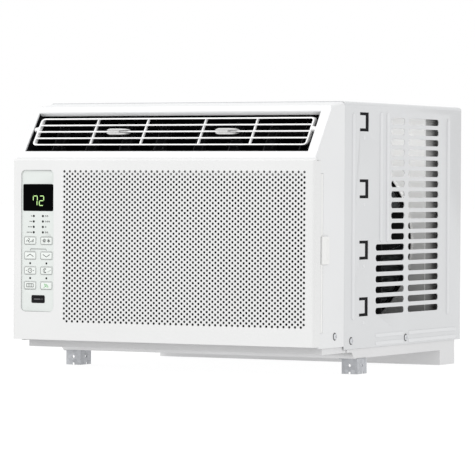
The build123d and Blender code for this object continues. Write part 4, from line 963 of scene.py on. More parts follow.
for side in ("left", "right"):
    tab_low, tab_high = drawn_box(f"vane_tab_{side}")
    x = (tab_low[0], tab_high[0])
    _, y, z = on_slope(0.0, BLADE_UP[2], BAR_DEPTH)
    jaws = [jaw(x, z, y - JAW_FORWARD, way) for way in (1.0, -1.0)]
    bridge = brick((x[0] + 1.2, x[0] + 19), (y - 3.2, y - 0.35), inset((z, z), -1.6))
    rib = brick((-0.35, 0.35), (y - 3.75, y - 3.0), inset((z, z), -3.4))
    ribs = repeated(rib, along(0, x[0] + 5 + RIB_STEP * np.arange(RIB_COUNT)))
    peg = brick((-1, 1), (y + 8.6, tab_high[1]), (z + 1.4, z + 3.9))
    pegs = repeated(peg, along(0, inset((sum(x) / 2, sum(x) / 2), -PEG_APART / 2)))
    tab = joined([*jaws, bridge, ribs, pegs])
    new_piece(f"thumb_tab_{side}", tab, f"tab_{side}", "tab_grey", f"vane_tab_{side}")

# %% [markdown]
# ## The upright vanes
# Eight thin blades stand behind the grille, four to a bank, and a link bar joins the four. Their CAD
# shape is right, so softened copies with a very small radius are enough.

# %% Soften the vanes
for side in ("left", "right"):
    for number in (1, 2, 3, 4):
        vane = f"vane_{side}_{number}"
        softened(vane, f"air_{vane}", f"{vane}_body", "vane_grey", 0.35, 8.0)

# %% [markdown]
# ## Ink
# Printed marks are thin ink. Each is a flat stroke, a twentieth of a millimetre proud of its surface,
# so it neither sinks nor flickers. It could be a pattern in the material, but as a mesh it stays sharp
# at any distance.

# %% Strokes, arcs and dots
INK_PROUD, INK_SUNK = 0.06, 0.02


def stroke(path, width, face, closed=False):
    """A ribbon of even width along (x, z) points: each point is pushed half a width to both sides."""
    half, front, back = width / 2, face - INK_PROUD, face + INK_SUNK
    return swept(carried(path, [(half, front), (-half, front), (-half, back), (half, back)], closed), closed)


def arc(centre, radius, first, last, steps=12):
    """Points on a circle between two angles in degrees."""
    angle = np.radians(np.linspace(first, last, steps))
    return np.asarray(centre) + radius * np.stack([np.cos(angle), np.sin(angle)], -1)


def loop_of_ink(centre, radius, width, face, last=345, steps=16):
    """A small printed ring."""
    return stroke(arc(centre, radius, 0, last, steps), width, face, True)


print("ink is", round(INK_PROUD + INK_SUNK, 2), "mm thick")

# %% [markdown]
# ## One sign for each key
# Words are left out, and plain signs take their place: a fan with steps, a sun and a crystal, arrows,
# a clock, a moon, a comb for the filter and a leaf. A sign is a list of paths round the key's middle,
# each with its width, and whether it closes.

# %% The signs as paths
FINE, MEDIUM, BOLD = 0.72, 0.8, 0.9
HUB = np.array([-2.6, 0.0])


def toward(degrees):
    """The unit vector at an angle: its cosine and its sine."""
    return np.array([math.cos(math.radians(degrees)), math.sin(math.radians(degrees))])


def rays(centre, inner, outer, angles):
    """Straight strokes from one distance to another, one for each angle."""
    return [(centre + np.outer((inner, outer), toward(degrees)), FINE, 0) for degrees in angles]


def petal(degrees):
    """A fan's blade: part of a small circle whose own centre lies round the hub."""
    return arc(HUB + 1.6 * toward(degrees), 1.5, degrees - 180, degrees + 20), FINE, 0


moon = [arc((-2.2, 0), 2.9, 50, 310, 16), arc((-0.8, 0), 2.25, 285, 75, 12)]
leaf = [arc((-1.6, -3.2), 4.9, 10, 80, 10), arc((1.6, 3.2), 4.9, 190, 260, 10)]
chevron = np.array([(-5.4, -1.5), (0, 1.9), (5.4, -1.5)])
KEY_SIGNS = {
    "fan_speed": [petal(d) for d in (90, 210, 330)]
    + [([(1.6 + 1.7 * k, -2.2), (1.6 + 1.7 * k, -0.8 + 1.5 * k)], BOLD, 0) for k in range(3)],
    "mode": [(arc((-3.4, 0), 1.35, 0, 340, 16), 1.0, 1)]
    + rays((-3.4, 0), 2.2, 3.1, range(0, 360, 45))
    + rays((3.6, 0), -3.0, 3.0, (30, 90, 150)),
    "up": [(chevron, BOLD, 0)],
    "down": [(chevron * (1, -1), BOLD, 0)],
    "timer": [(arc((0, 0), 3.1, 0, 345, 24), FINE, 1), ([(0, 2.0), (0, 0), (1.6, -0.8)], FINE, 0)]
    + [([(way * 5.0, 0), (way * 6.6, 0)], MEDIUM, 0) for way in (-1, 1)],
    "sleep": [(np.concatenate(moon), FINE, 1)]
    + [([(2.4 + 1.8 * k, 1.2 * k - 1.6), (3.4 + 1.8 * k, 1.2 * k - 1.6)], MEDIUM, 0) for k in range(3)],
    "filter": [([(-5.6, way * 2.3), (5.6, way * 2.3)], FINE, 0) for way in (-1, 1)]
    + [([(k, -2.3), (k, 2.3)], 0.6, 0) for k in (-5.6, -2.8, 0.0, 2.8, 5.6)],
    "eco": [(np.concatenate(leaf), FINE, 1), ([(-4.4, -3.4), (1.6, 1.5)], FINE, 0)],
}
print("signs for", len(KEY_SIGNS), "keys")

# %% [markdown]
# ## The keys
# Each key is a small cap with a rounded front edge, on its own spring. The stem behind it is part of
# the same moulding, so the new piece is the whole key: cap, flange and stem in one. Its outline and its
# sign are ink that rides on the same key.

# %% Caps, flanges, stems and their ink
FLANGE = 1.1
CAP_DEEP = 3.6
STEM = 2.0
RIM_INSET = 0.75
CAP_RADIUS, CAP_EDGE = 1.7, 0.45
FLANGE_RADIUS, FLANGE_EDGE = 2.2, 0.1
RIM_RADIUS, RIM_WIDTH = 1.5, 0.5
for name in (*KEY_SIGNS, "power"):
    low, high = drawn_box(f"button_{name}")
    middle = middle_of(f"button_{name}")[[0, 2]]
    face, body, dark = low[1], f"{name}_key", name == "power"
    wide, tall = (low[0], high[0]), (low[2], high[2])
    cap_x, cap_z = inset(wide, FLANGE), inset(tall, FLANGE)
    stem_x, stem_z = [inset((centre, centre), -STEM) for centre in middle]
    cap = front_pad(cap_x, cap_z, CAP_RADIUS, face, face + CAP_DEEP, CAP_EDGE)
    behind = face + CAP_DEEP
    flange = front_pad(wide, tall, FLANGE_RADIUS, behind - 0.5, behind + 0.4, FLANGE_EDGE)
    stem = brick(stem_x, (behind - 0.1, high[1]), stem_z)
    slot = "key_black" if dark else "key_white"
    new_piece(f"key_cap_{name}", joined([cap, flange, stem]), body, slot, f"button_{name}")
    if dark:
        bar = stroke([middle - (6.5, 0), middle + (4.0, 0)], 1.5, face)
        dot = loop_of_ink(middle + (6.6, 0), 1.0, 0.4, face)
        new_piece("key_ink_power", joined([bar, dot]), body, slot, look="ink_pale")
        continue
    outline = rounded_rectangle(inset(cap_x, RIM_INSET), inset(cap_z, RIM_INSET), RIM_RADIUS, 5)
    signs = KEY_SIGNS[name]
    sign = [stroke(middle + np.asarray(path), width, face, bool(close)) for path, width, close in signs]
    new_piece(f"key_rim_{name}", stroke(outline, RIM_WIDTH, face, True), body, slot, look="ink_pale")
    ink = "ink_green" if name == "eco" else "ink_grey"
    new_piece(f"key_sign_{name}", joined(sign), body, slot, look=ink)

# %% [markdown]
# ## Marks between the keys
# On the strip itself a bracket joins the two arrow keys, a dot stands over each lower key, and every
# indicator has a ring and a short row of dashes or small rings beside it, one kind for each column.

# %% Bracket, dots and rows
strip_face = drawn_box("control_bezel")[0][1]
led_low, led_high = drawn_box("indicator_leds")
LED_RADIUS = 1.1
DASH_STEP, LOOP_STEP, FIRST_MARK = 2.3, 2.9, 4.4
led_x = inset((led_low[0], led_high[0]), LED_RADIUS)
led_z = np.linspace(*inset((led_low[2], led_high[2]), LED_RADIUS), 4)
up_x, down_x = middle_of("button_up")[0], middle_of("button_down")[0]
bracket_top = drawn_box("button_up")[1][2] + 2.4
bracket_foot = bracket_top - 2.2
bracket = [(up_x, bracket_foot), (up_x + 0.8, bracket_top)]
bracket += [(down_x - 0.8, bracket_top), (down_x, bracket_foot)]
marks = [stroke(bracket, 0.7, strip_face)]
dot_profile = [(strip_face - INK_PROUD, HAIR), (strip_face - INK_PROUD, 1.5)]
dot_profile += [(strip_face + INK_SUNK, 1.5), (strip_face + INK_SUNK, HAIR)]
for key in ("timer", "sleep", "filter", "eco"):
    key_top = drawn_box(f"button_{key}")[1][2]
    marks.append(lathe(1, dot_profile, (middle_of(f"button_{key}")[0], key_top + 3.4), 20))
for z, level in zip(led_z, (4, 3, 2, 1)):
    dash_x = [led_x[0] - FIRST_MARK - DASH_STEP * k for k in range(level)]
    loop_x = [led_x[1] + FIRST_MARK + LOOP_STEP * k for k in range(level % 3 + 1)]
    marks += [stroke([(x, z), (x + 1.4, z)], 1.3, strip_face) for x in dash_x]
    marks += [loop_of_ink((x, z), 0.9, 0.55, strip_face, 330, 10) for x in loop_x]
    marks += [loop_of_ink((x, z), 1.42, 0.5, strip_face) for x in led_x]
new_piece("strip_ink", joined(marks), "root", "strip_white", look="ink_grey")

# %% [markdown]
# ## Indicator lenses and the window
# Eight small domed lenses end the light guides, and a dark window covers the display. Both are simple
# turned or padded shapes with a rounded front edge.

# %% Lenses and window
front = led_low[1]
lens_profile = [(front + 5, HAIR), (front + 5, LED_RADIUS), (front + 0.2, LED_RADIUS)]
lens_profile += [(front - 0.15, 0.8), (front - 0.25, HAIR)]
lenses = [lathe(1, lens_profile, (x, z), 16) for x in led_x for z in led_z]
new_piece("indicator_lenses", joined(lenses), "root", "led_clear", "indicator_leds")
window_low, window_high = drawn_box("display_lens")
window_x, window_z = (window_low[0], window_high[0]), (window_low[2], window_high[2])
window = front_pad(window_x, window_z, 2.0, window_low[1], window_high[1], 0.25)
new_piece("display_window", window, "root", "window_black", "display_lens")

# %% [markdown]
# ## The lit digits
# A digit has seven places for a segment, named a to g from the top, and shows the ones that are lit. A
# segment is a bar with pointed ends, and each leans a little with its height.

# %% Segments and digits
SEGMENT, SEGMENT_HALF = 6.0, 0.52
LEAN = 0.08
FACE_UP = (0.08, 0.05)
PLACES = {
    "a": (0, 6.6), "g": (0, 0), "d": (0, -6.6),
    "f": (-3.3, 3.3), "b": (3.3, 3.3), "e": (-3.3, -3.3), "c": (3.3, -3.3),
}


def lit_segment(x, z, upright):
    """A six-sided segment: its ends come to a point over half its thickness."""
    half, thick = SEGMENT / 2, SEGMENT_HALF
    flat = np.array([(-half, 0), (thick - half, thick), (half - thick, thick)])
    flat = np.concatenate([flat, -flat])
    loop = (flat[:, ::-1] if upright else flat) + (x, z)
    return swept(at_depths([loop, loop], (window_low[1] - FACE_UP[0], window_low[1] + FACE_UP[1])))


def digit(x, z, letters):
    """The lit places of a figure of eight round (x, z)."""
    lit = [(PLACES[letter], letter in "fbec") for letter in letters]
    return [lit_segment(x + across + LEAN * up, z + up, upright) for (across, up), upright in lit]


digits_low, digits_high = drawn_box("display_digits")
digit_z = middle_of("display_digits")[2]
lit = digit(digits_low[0] + 3.0, digit_z, "abcf") + digit(digits_high[0] - 5.4, digit_z, "abged")
new_piece("lit_digits", joined(lit), "root", "digit_green", "display_digits")

# %% [markdown]
# ## Pads that face the side, and mirror images
# Two more shapes come back on the sides and inside: a pad that faces right, and the mirror image of a
# shape about the middle of the machine.

# %% Side pads and mirrors


def side_pad(y, z, radius, face, back, edge, rise=None):
    """A front pad turned a quarter about the upright, so that its front looks to the right at X = face."""
    points, faces = front_pad(y, z, radius, -face, -back, edge, rise)
    return points[:, [1, 0, 2]] * (-1.0, 1.0, 1.0), faces


def both_sides(shape):
    """A shape and its image with X negated as one, the image's faces turned back outwards."""
    points, faces = shape
    return joined([shape, (points * (-1.0, 1.0, 1.0), [block[:, ::-1] for block in faces])])


skin = drawn_box("cabinet_shell")[1][0]
print("cabinet skin at", round(skin, 2))

# %% [markdown]
# ## The mouth's upper lip
# The housing turns inwards over the top of the mouth. It is a thin return, folded along the slope's
# upper edge, and it shows as a grey line over the blades.

# %% A folded return
LIP_LOW, LIP_HIGH = MOUTH_TOP - 0.9, MOUTH_TOP - 0.1
LIP_FRONT, LIP_BACK, LIP_CUT = 0.4, 7.5, 0.3
lip_up = np.array([LIP_LOW, LIP_LOW, LIP_HIGH, LIP_HIGH, LIP_LOW + LIP_CUT])
lip_depth = np.array([LIP_FRONT + LIP_CUT, LIP_BACK, LIP_BACK, LIP_FRONT, LIP_FRONT])
lip_ends = np.array(inset(mouth_x, 0.3))[:, None]
new_piece("mouth_lip", swept(on_slope(lip_ends, lip_up, lip_depth)), "root", "housing_white")

# %% [markdown]
# ## The air filter's rim
# The filter is a dark rim with two uprights and one crossbar. The rim is one chamfered section carried
# round a rectangle, and the bars are the same section carried along straight paths.

# %% Rim and bars
filter_low, filter_high = drawn_box("filter_frame")
RIM = 8.0
CHAMFER = 0.7
RIM_CORNER = 4.5
rim_y, rim_z = (26.0, 32.0), (18.5, 231.5)
rim_x = (filter_low[0], skin - 2.75)
bar_x, bar_z = inset(rim_x, RIM / 2), inset(rim_z, RIM / 2)


def bar_section(width, y):
    """A rectangle with small chamfers as (offset across, y) pairs."""
    half, cut = width / 2, CHAMFER
    corners = [(-half, y[0] + cut), (-half + cut, y[0]), (half - cut, y[0]), (half, y[0] + cut)]
    corners += [(half, y[1] - cut), (half - cut, y[1]), (-half + cut, y[1]), (-half, y[1] - cut)]
    return corners


def flat_bar(start, end, y):
    """A bar between two (x, z) points with a chamfered section."""
    return swept(carried([start, end], bar_section(RIM, y), False))


rim_path = rounded_rectangle(bar_x, bar_z, RIM_CORNER, 5)
rim_ring = swept(carried(rim_path, bar_section(RIM, rim_y)), closed=True)
opening = (rim_x[1] - rim_x[0] - 4 * RIM) / 3
upright_x = [rim_x[0] + RIM * 1.5 + opening, rim_x[0] + RIM * 2.5 + 2 * opening]
uprights = [flat_bar((x, bar_z[0]), (x, bar_z[1]), inset(rim_y, 0.5)) for x in upright_x]
middle_z = sum(rim_z) / 2
crossbar = flat_bar((bar_x[0], middle_z), (bar_x[1], middle_z), inset(rim_y, 0.8))
new_piece("filter_rim", joined([rim_ring, *uprights, crossbar]), "filter", "filter_net", "filter_frame")

# %% [markdown]
# ## The filter's grip
# A white grip stands outside the right wall, so that a hand can pull the filter out. It has a thin neck
# through the slot, three ribs, and a white end bar that closes the slot when the filter is home.

# %% Grip, neck, end bar and ribs
tip = filter_high[0]
grip = side_pad((25.0, 47.5), (110.0, 148.0), 3.0, tip, tip - 2.2, 1.1)
neck = side_pad((27.0, 31.0), (112.0, 146.0), 0.8, tip - 1.5, skin - 1.0, 0.1)
end_bar = side_pad(inset(rim_y, 0.1), rim_z, 0.8, skin, skin - 3.2, 0.3)
ribs = [side_pad((y, y + 1.2), (114.0, 144.0), 0.55, tip + 0.2, tip - 0.6, 0.35) for y in (38.0, 40.6, 43.2)]
handle = joined([grip, neck, end_bar, *ribs])
new_piece("filter_grip", handle, "filter", "filter_plastic", "filter_frame")

# %% [markdown]
# ## The filter's net
# A net could be a plane with holes in its material, but then it would have no thickness from the side.
# Square threads a millimetre and a half apart, laid out as two arrays, are real and still light.

# %% Threads down and over
THREAD, MESH_STEP = 0.6, 1.5
THREAD_DEEP, OVERLAP = 0.25, 0.1
NET_IN = 6
net_y = sum(rim_y) / 2
net_x = np.arange(rim_x[0] + 7, rim_x[1] - 6.5, MESH_STEP)
net_z = np.arange(rim_z[0] + 7, rim_z[1] - 6.5, MESH_STEP)
down = brick((0, THREAD), (net_y - OVERLAP, net_y + THREAD_DEEP), inset(rim_z, NET_IN))
over = brick(inset(rim_x, NET_IN), (net_y - THREAD_DEEP, net_y + OVERLAP), (0, THREAD))
print("threads", len(net_x), "down and", len(net_z), "over")
net = joined([repeated(down, along(0, net_x)), repeated(over, along(2, net_z))])
new_piece("filter_net", net, "filter", "filter_net", "filter_mesh")

# %% [markdown]
# ## Fins on the two coils
# A coil is hundreds of aluminium sheets on copper tubes. Each sheet is pressed into waves so that the
# air mixes. One wavy sheet is a zigzag with a thickness, and an array of offsets makes the pack.

# %% One wavy fin, then the packs
FIN_THICK, FIN_WAVE, FIN_FOLDS = 0.28, 0.35, 4
END_PLATE, PLATE_RADIUS, PLATE_EDGE = 1.5, 2.5, 0.25
EVAPORATOR_STEP, CONDENSER_STEP = 2.2, 2.0


def wavy_fin(y, z):
    """A thin upright sheet whose X swings to and fro along Y, as a closed outline carried up in Z."""
    place = np.linspace(y[0], y[1], 2 * FIN_FOLDS + 1)
    swing = FIN_WAVE * np.where(np.arange(len(place)) % 2, 1.0, -1.0)
    one, other = [np.stack([swing + way * FIN_THICK / 2, place], -1) for way in (1, -1)]
    outline = np.concatenate([one, other[::-1]])
    return swept(np.array([np.insert(outline, 2, level, axis=1) for level in z]))


def coil(node, name, fin_y, fin_z, step):
    """Fins between two end plates with rounded corners, in place of a CAD fin block."""
    low, high = drawn_box(node)
    fin_x = np.arange(low[0] + 2.4, high[0] - 2.0, step)
    fins = repeated(wavy_fin(fin_y, fin_z), along(0, fin_x))
    y, z = (low[1], high[1]), (low[2], high[2])
    places = (low[0], high[0] - END_PLATE)
    plates = [side_pad(y, z, PLATE_RADIUS, x + END_PLATE, x, PLATE_EDGE) for x in places]
    print(name, len(fin_x), "fins")
    new_piece(name, joined([fins, *plates]), "root", "fin_aluminium", node)


coil("evaporator_fins", "evaporator_fin_pack", (44.0, 84.0), (20.0, 226.0), EVAPORATOR_STEP)
coil("condenser_fins", "condenser_fin_pack", (428.0, 462.0), (-30.0, 316.0), CONDENSER_STEP)

# %% [markdown]
# ## The blower wheel
# A squirrel cage: curved blades between a disc with a hub and a thin front ring. One blade is an arc
# that leans forward, carried along Y, and turning it about the shaft makes the cage.

# %% Blades, disc and ring
AXLE = np.array([60.0, 137.0])
BLOWER_BLADES = 28
BLADE_LEAN, BLADE_SHEET = 0.15, 1.3


def radius_of(node):
    """Half the height of a node's box, which is a wheel's radius."""
    low, high = drawn_box(node)
    return (high[2] - low[2]) / 2


def curved_blade(inner, outer, lean, thick, y):
    """A blade whose angle grows with the square of the way out: lean · share²."""
    share = np.linspace(0, 1, 7)
    radius = (inner + (outer - inner) * share)[:, None]
    angle = lean * share**2
    spine = radius * np.stack([np.cos(angle), np.sin(angle)], -1)
    side = beside(spine, False) * thick / 2
    outline = AXLE + np.concatenate([spine - side, (spine + side)[::-1]])
    return swept(at_depths([outline, outline], y))


edge = radius_of("blower_wheel")
rim_in = edge - 0.6
disc_profile = [(213, 5.0), (213, 12.5), (212.4, 13), (206, 13.4), (205, 15), (205, rim_in), (204.4, edge)]
disc_profile += [(203.6, edge), (203, rim_in), (203, 15), (202, 13.4), (191.6, 13), (191, 12.5), (191, 5.0)]
front_profile = [(108, edge - 14), (108, rim_in), (108.5, edge)]
front_profile += [(110.5, edge), (111, rim_in), (111, edge - 14)]
blade = curved_blade(edge - 17, rim_in, BLADE_LEAN, BLADE_SHEET, (109.5, 204.0))
wheel = [turned(blade, BLOWER_BLADES, AXLE)]
wheel += [lathe(1, profile, AXLE, 64, True) for profile in (disc_profile, front_profile)]
new_piece("blower_cage", joined(wheel), "rotor", "fan_black", "blower_wheel")

# %% [markdown]
# ## The outdoor fan
# Five blades twist from steep at the hub to flat at the ring that joins their tips. A blade is a grid
# of radius by chord: each point's angle is its place along the chord over the radius. Its thickness is
# half an ellipse along the chord, and a little camber bows it.

# %% Twisted blades, hub and ring
FAN_BLADES = 5
FAN_MIDDLE = 391.0
HUB_RADIUS = 30.0
CAMBER = 2.2
ROOT_CHORD, CHORD_GAIN = 38.0, 26.0
ROOT_PITCH, PITCH_LOSS = 33.0, 13.0
SWEEP = 0.22
fan_r = radius_of("condenser_fan")
radius = np.linspace(HUB_RADIUS, fan_r - 1.5, 10)[:, None]
out = (radius - HUB_RADIUS) / (fan_r - 1.5 - HUB_RADIUS)
share = np.linspace(-0.5, 0.5, 8)[None, :]
chord = share * (ROOT_CHORD + CHORD_GAIN * out)
pitch = np.radians(ROOT_PITCH - PITCH_LOSS * out)
angle = chord * np.cos(pitch) / radius + SWEEP * out**2
depth = FAN_MIDDLE + chord * np.sin(pitch) + CAMBER * (1 - 4 * share**2) - CAMBER / 2
half_thick = np.sqrt(1.02 - 4 * share**2) + 0.15
blade_x, blade_z = AXLE[0] + radius * np.cos(angle), AXLE[1] + radius * np.sin(angle)
rear, front = [np.stack([blade_x, depth + way * half_thick, blade_z], -1) for way in (1, -1)]
blade = swept(np.concatenate([rear, front[:, ::-1]], 1))
hub_profile = [(380, HAIR), (380, 26), (380.8, 29), (383, 31.4), (386, 32)]
hub_profile += [(398, 32), (400, 30.5), (400, HAIR)]
tip_profile = [(384, fan_r - 2.6), (383.8, fan_r - 1), (384, fan_r), (397.6, fan_r), (398, fan_r - 0.6)]
tip_profile += [(398, fan_r - 3), (386, fan_r - 3)]
fan = [turned(blade, FAN_BLADES, AXLE), lathe(1, hub_profile, AXLE, 48)]
fan.append(lathe(1, tip_profile, AXLE, 96, True))
new_piece("outdoor_fan", joined(fan), "rotor", "fan_black", "condenser_fan")

# %% [markdown]
# ## The shroud
# The shroud stands round the fan and turns the air through it. Its hole has a rolled edge towards the
# compressor's side, which is a turned ring, and the moulding itself is a softened copy.

# %% Rolled edge and moulding
TIP_GAP = 6
hole = fan_r + TIP_GAP
roll = [(380.2, 0.1), (378.6, 0.5), (377.8, 1.8), (378.6, 3.2), (380.2, 3.8)]
rolled_edge = lathe(1, [(place, hole + step) for place, step in roll], AXLE, 96, True)
new_piece("shroud_rolled_edge", rolled_edge, "root", "shroud_grey")
softened("fan_shroud", "shroud_moulding", "root", "shroud_grey", 0.9, 20.0)

# %% [markdown]
# ## The cabinet
# Pressed sheet has small radii at its folds, raised beads that stiffen the sides, and a dimple under
# each clip slot. Beads and dimples are pads that stand up to two millimetres out of the skin. Their
# colour is a few percent lighter than the skin's: a painted highlight for the light a raised edge catches.

# %% Skin and beads
softened("cabinet_shell", "cabinet_skin", "root", "cabinet_paint", 0.4, 9.0)


def bead(y, z, width=8.5, proud=2.0):
    """A raised bead from one (y, z) end to the other, level or upright: half an ellipse in section."""
    half = width / 2
    spans = [inset((min(ends), max(ends)), -half) for ends in (y, z)]
    return side_pad(*spans, half - 0.01, skin + proud, skin - 0.4, half * 0.94, proud)


beads = [bead((124, 124), (310, 37)), bead((437, 437), (309, 35))]
beads += [bead((y, y), (314, 142)) for y in (211.5, 233)]
beads += [bead(y, (z, z), 5.5, 1.3) for y in ((198, 284), (306, 464)) for z in (9.0, -2.0)]
beads += [bead((158, 158), (z, z), 6.0, 0.8) for z in (282, 190, 105.6, 28)]
# the beads' lighter colour is a painted highlight
new_piece("cabinet_beads", both_sides(joined(beads)), "root", "cabinet_paint", look="bead_painted_highlight")

# %% [markdown]
# ## Painted shade behind the clip slots
# Four slots on each side take the clips of a curtain. Black foam pads behind them are painted shade:
# they make the slots look black from outside, as the shade inside a slot does.

# %% Black pads of painted shade
SLOT_TOPS = (316.4, 224.7, 140.7, 62.9)
SHADE_PAD_DOWN, SHADE_PAD_UP = 30, 3
shade_pad_z = [(top - SHADE_PAD_DOWN, top + SHADE_PAD_UP) for top in SLOT_TOPS]
# black pads behind the clip slots: painted shade
shade_pads = [side_pad((140, 176), z, 3.0, skin - 1.1, skin - 4.2, 0.3) for z in shade_pad_z]
new_piece("clip_slot_shade_pads", both_sides(joined(shade_pads)), "root", "foam_black")

# %% [markdown]
# ## The pan and the brackets
# The pan is pressed and painted, and the brackets are bent from galvanised strip. Both have the right
# CAD shape, so their folds are only rounded.

# %% Soften the pan and the brackets
softened("base_pan", "pan_pressing", "root", "pan_paint", 0.5, 14.0)
for side in ("left", "right"):
    softened(f"sill_bracket_{side}", f"sill_angle_{side}", "root", "galvanised", 0.5, 2.0)

# %% [markdown]
# ## Screws
# A pan-head screw has a domed head with a cross in it. The cross is an outline whose radius jumps
# between long and short, sunk into the crown and narrowed as it goes down. The side screws sit on black
# rubber rings, painted shade for the dark ring of shadow round each head.

# %% One screw, then all of them
SCREW_SIDES = 24
HEAD_HEIGHT = 2.2
SHANK = 2.0
LONG_ARM, SHORT_ARM = 0.50, 0.17


def cross_screw(head, length):
    """A screw along +X from its seat at X = 0: round outlines, then a cross that goes down into the crown."""
    steps = np.arange(SCREW_SIDES)
    angle = circle(SCREW_SIDES)
    arm = np.where(np.isin(steps % 6, (0, 1, 5)), LONG_ARM, SHORT_ARM) * head
    loops = [(-length, 0.5 * SHANK), (-length + 1.2, SHANK), (0.0, SHANK)]
    crown = [(0.0, 1.0), (0.35, 1.0), (0.62, 0.93), (0.85, 0.78), (1.0, 0.56)]
    loops += [(HEAD_HEIGHT * up, share * head) for up, share in crown]
    loops += [(HEAD_HEIGHT, arm), (HEAD_HEIGHT * 0.35, arm * 0.6)]
    rings = [np.broadcast_arrays(x, r * np.cos(angle), r * np.sin(angle)) for x, r in loops]
    return swept(np.array(rings).transpose(0, 2, 1))


SIDE_HEAD, PAN_HEAD = 4.2, 4.0
side_places = np.array([(skin, 119.4, 4.5), (skin, 295.0, 2.7), (skin, 69.0, 12.3)])
# black rubber rings under the side screws: painted shade round each head
shade_ring_profile = [(skin - 0.1, 2.2), (skin - 0.1, 5.4), (skin + 0.35, 5.2), (skin + 0.35, 2.2)]
shade_rings = repeated(lathe(0, shade_ring_profile, (0.0, 0.0), 24), side_places * (0, 1, 1))
new_piece("side_screw_shade_rings", both_sides(shade_rings), "root", "rubber_black")
side_screws = both_sides(repeated(cross_screw(SIDE_HEAD, 5.0), side_places))
new_piece("side_screws", side_screws, "root", "screw_zinc", "cabinet_screws")
points, faces = cross_screw(PAN_HEAD, 6.5)
low, high = drawn_box("bracket_screws")
screw_x, screw_y = [inset((low[k], high[k]), PAN_HEAD) for k in (0, 1)]
pan_places = [(x, y, low[2] + HEAD_HEIGHT) for x in screw_x for y in screw_y]
pan_screws = repeated((points[:, [2, 1, 0]] * (1, 1, -1), faces), pan_places)
new_piece("pan_screws", pan_screws, "root", "screw_zinc", "bracket_screws")

# %% [markdown]
# ## Inside the outdoor bay
# The compressor's can is welded round its middle, and the motor's two shells are held by a band. Both
# are turned rings, one about the upright and one about the shaft.

# %% Weld bead and motor band
CAN = (-130.0, 305.0)
weld = [(147.0, 51.4), (147.6, 52.9), (149.0, 53.4), (150.4, 52.9), (151.0, 51.4)]
band = [(271, 45.5), (271, 46.9), (271.6, 47.3), (278.4, 47.3), (279, 46.9), (279, 45.5)]
new_piece("compressor_weld", lathe(2, weld, CAN, 64), "root", "compressor_black")
new_piece("motor_band", lathe(1, band, AXLE, 72, True), "root", "steel_bright")

# %% [markdown]
# ## Ducts and scroll
# The scroll, the channel over it and the discharge duct are mouldings, and softened copies of them are
# enough. The channel's finish is black foam as painted shade, so that its shaded inside shows dark
# between the louvres.

# %% Soften the air path
for node, name, slot in (
    ("blower_scroll", "scroll_moulding", "foam_white"),
    # the channel's black foam finish is painted shade
    ("air_channel", "channel_moulding", "foam_black"),
    ("discharge_duct", "duct_moulding", "duct_black"),
):
    softened(node, name, "root", slot, 0.7, 25.0)

# %% [markdown]
# ## The camera
# A long lens from the right and a little above the middle's height shows the front and the right side
# with hardly any perspective. Its axes come from three angles: how far it turns from the Y axis, how
# far it looks down, and how far it is tipped over.

# %% Camera
YAW, PITCH, ROLL = 0.48685, -0.01567, 0.00494
CAMERA_PLACE = (2.20003, -4.17118, 0.25714)
LENS, SENSOR = 250.64, 36.0


def turned_matrix(across, above, ahead, place):
    """The matrix of an object at a place that looks ahead: its columns are across, above and minus ahead."""
    columns = np.stack([across, above, -ahead, place], 1)
    return Matrix([*columns.tolist(), (0.0, 0.0, 0.0, 1.0)])


ahead = np.array([-math.sin(YAW) * math.cos(PITCH), math.cos(YAW) * math.cos(PITCH), math.sin(PITCH)])
level = np.array([math.cos(YAW), math.sin(YAW), 0.0])
upright = np.cross(level, ahead)
across = math.cos(ROLL) * level + math.sin(ROLL) * upright
above = math.cos(ROLL) * upright - math.sin(ROLL) * level
camera_data = bpy.data.cameras.new("camera")
camera_data.lens = LENS
camera_data.sensor_width = SENSOR
camera_data.clip_end = 100.0
camera = bpy.data.objects.new("camera", camera_data)
camera.matrix_world = turned_matrix(across, above, ahead, CAMERA_PLACE)
bpy.context.scene.collection.objects.link(camera)
bpy.context.scene.camera = camera
print("camera", [round(value, 3) for value in camera.matrix_world.translation])

# %% [markdown]
# ## The floor
# The machine stands on a large light table: a plane a hair below its feet that glows nearly white, so
# that there is no horizon and hardly a shadow.

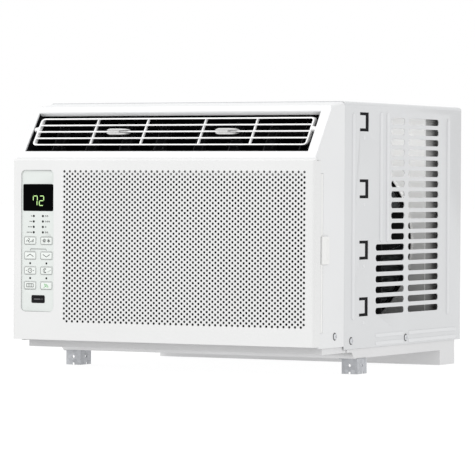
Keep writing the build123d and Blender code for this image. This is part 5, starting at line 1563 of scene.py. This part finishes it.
# %% A light table
FLOOR_Z = -0.0004
FLOOR_HALF = 30
floor_mesh = bpy.data.meshes.new("studio_floor")
corners = [(x * FLOOR_HALF, y * FLOOR_HALF, FLOOR_Z) for x, y in ((-1, -1), (1, -1), (1, 1), (-1, 1))]
floor_mesh.from_pydata(corners, [], [(0, 1, 2, 3)])
floor = bpy.data.objects.new("studio_floor", floor_mesh)
floor_finish = bpy.data.materials.new("floor_white")
floor_finish.use_nodes = True
FLOOR_LOOK = {
    "Base Color": (0.16, 0.16, 0.16, 1.0),
    "Roughness": 0.9,
    "Specular IOR Level": 0.0,
    "Emission Color": (1.0, 1.0, 1.0, 1.0),
    "Emission Strength": 0.9,
}
for label, value in FLOOR_LOOK.items():
    floor_finish.node_tree.nodes["Principled BSDF"].inputs[label].default_value = value
floor_mesh.materials.append(floor_finish)
bpy.context.scene.collection.objects.link(floor)
print("floor at", FLOOR_Z)

# %% [markdown]
# ## Sky and lamps
# A white sky lights every side. A large soft lamp at the upper left makes the front a little brighter
# than the side, and a weaker one fills in from the right. A very small lamp inside the outdoor bay
# lights the shroud, which shows through the cabinet's slots.

# %% White sky and three lamps
world = bpy.data.worlds.new("studio")
bpy.context.scene.world = world
world.use_nodes = True
world.node_tree.nodes["Background"].inputs["Color"].default_value = (1.0, 1.0, 1.0, 1.0)
world.node_tree.nodes["Background"].inputs["Strength"].default_value = 1.0


def soft_lamp(name, place, aim, size, watts):
    """A square area lamp at a place in metres that looks towards its aim."""
    data = bpy.data.lights.new(name, "AREA")
    data.size = size
    data.energy = watts
    lamp = bpy.data.objects.new(name, data)
    ahead = np.array(aim, float) - np.array(place, float)
    ahead /= np.linalg.norm(ahead)
    side = np.cross(ahead, (0, 0, 1))
    side /= np.linalg.norm(side)
    lamp.matrix_world = turned_matrix(side, np.cross(side, ahead), ahead, place)
    bpy.context.scene.collection.objects.link(lamp)


soft_lamp("key_lamp", (-1.3, -2.1, 3.0), (0, 0, 0.2), 1.8, 52)
soft_lamp("side_lamp", (3.2, -0.6, 1.4), (0, 0, 0.2), 1.8, 12)
soft_lamp("bay_lamp", (0.16, 0.02, 0.325), (0.17, 0.14, 0.27), 0.10, 0.10)
bpy.context.scene.view_settings.view_transform = "Standard"
print("lights ready")
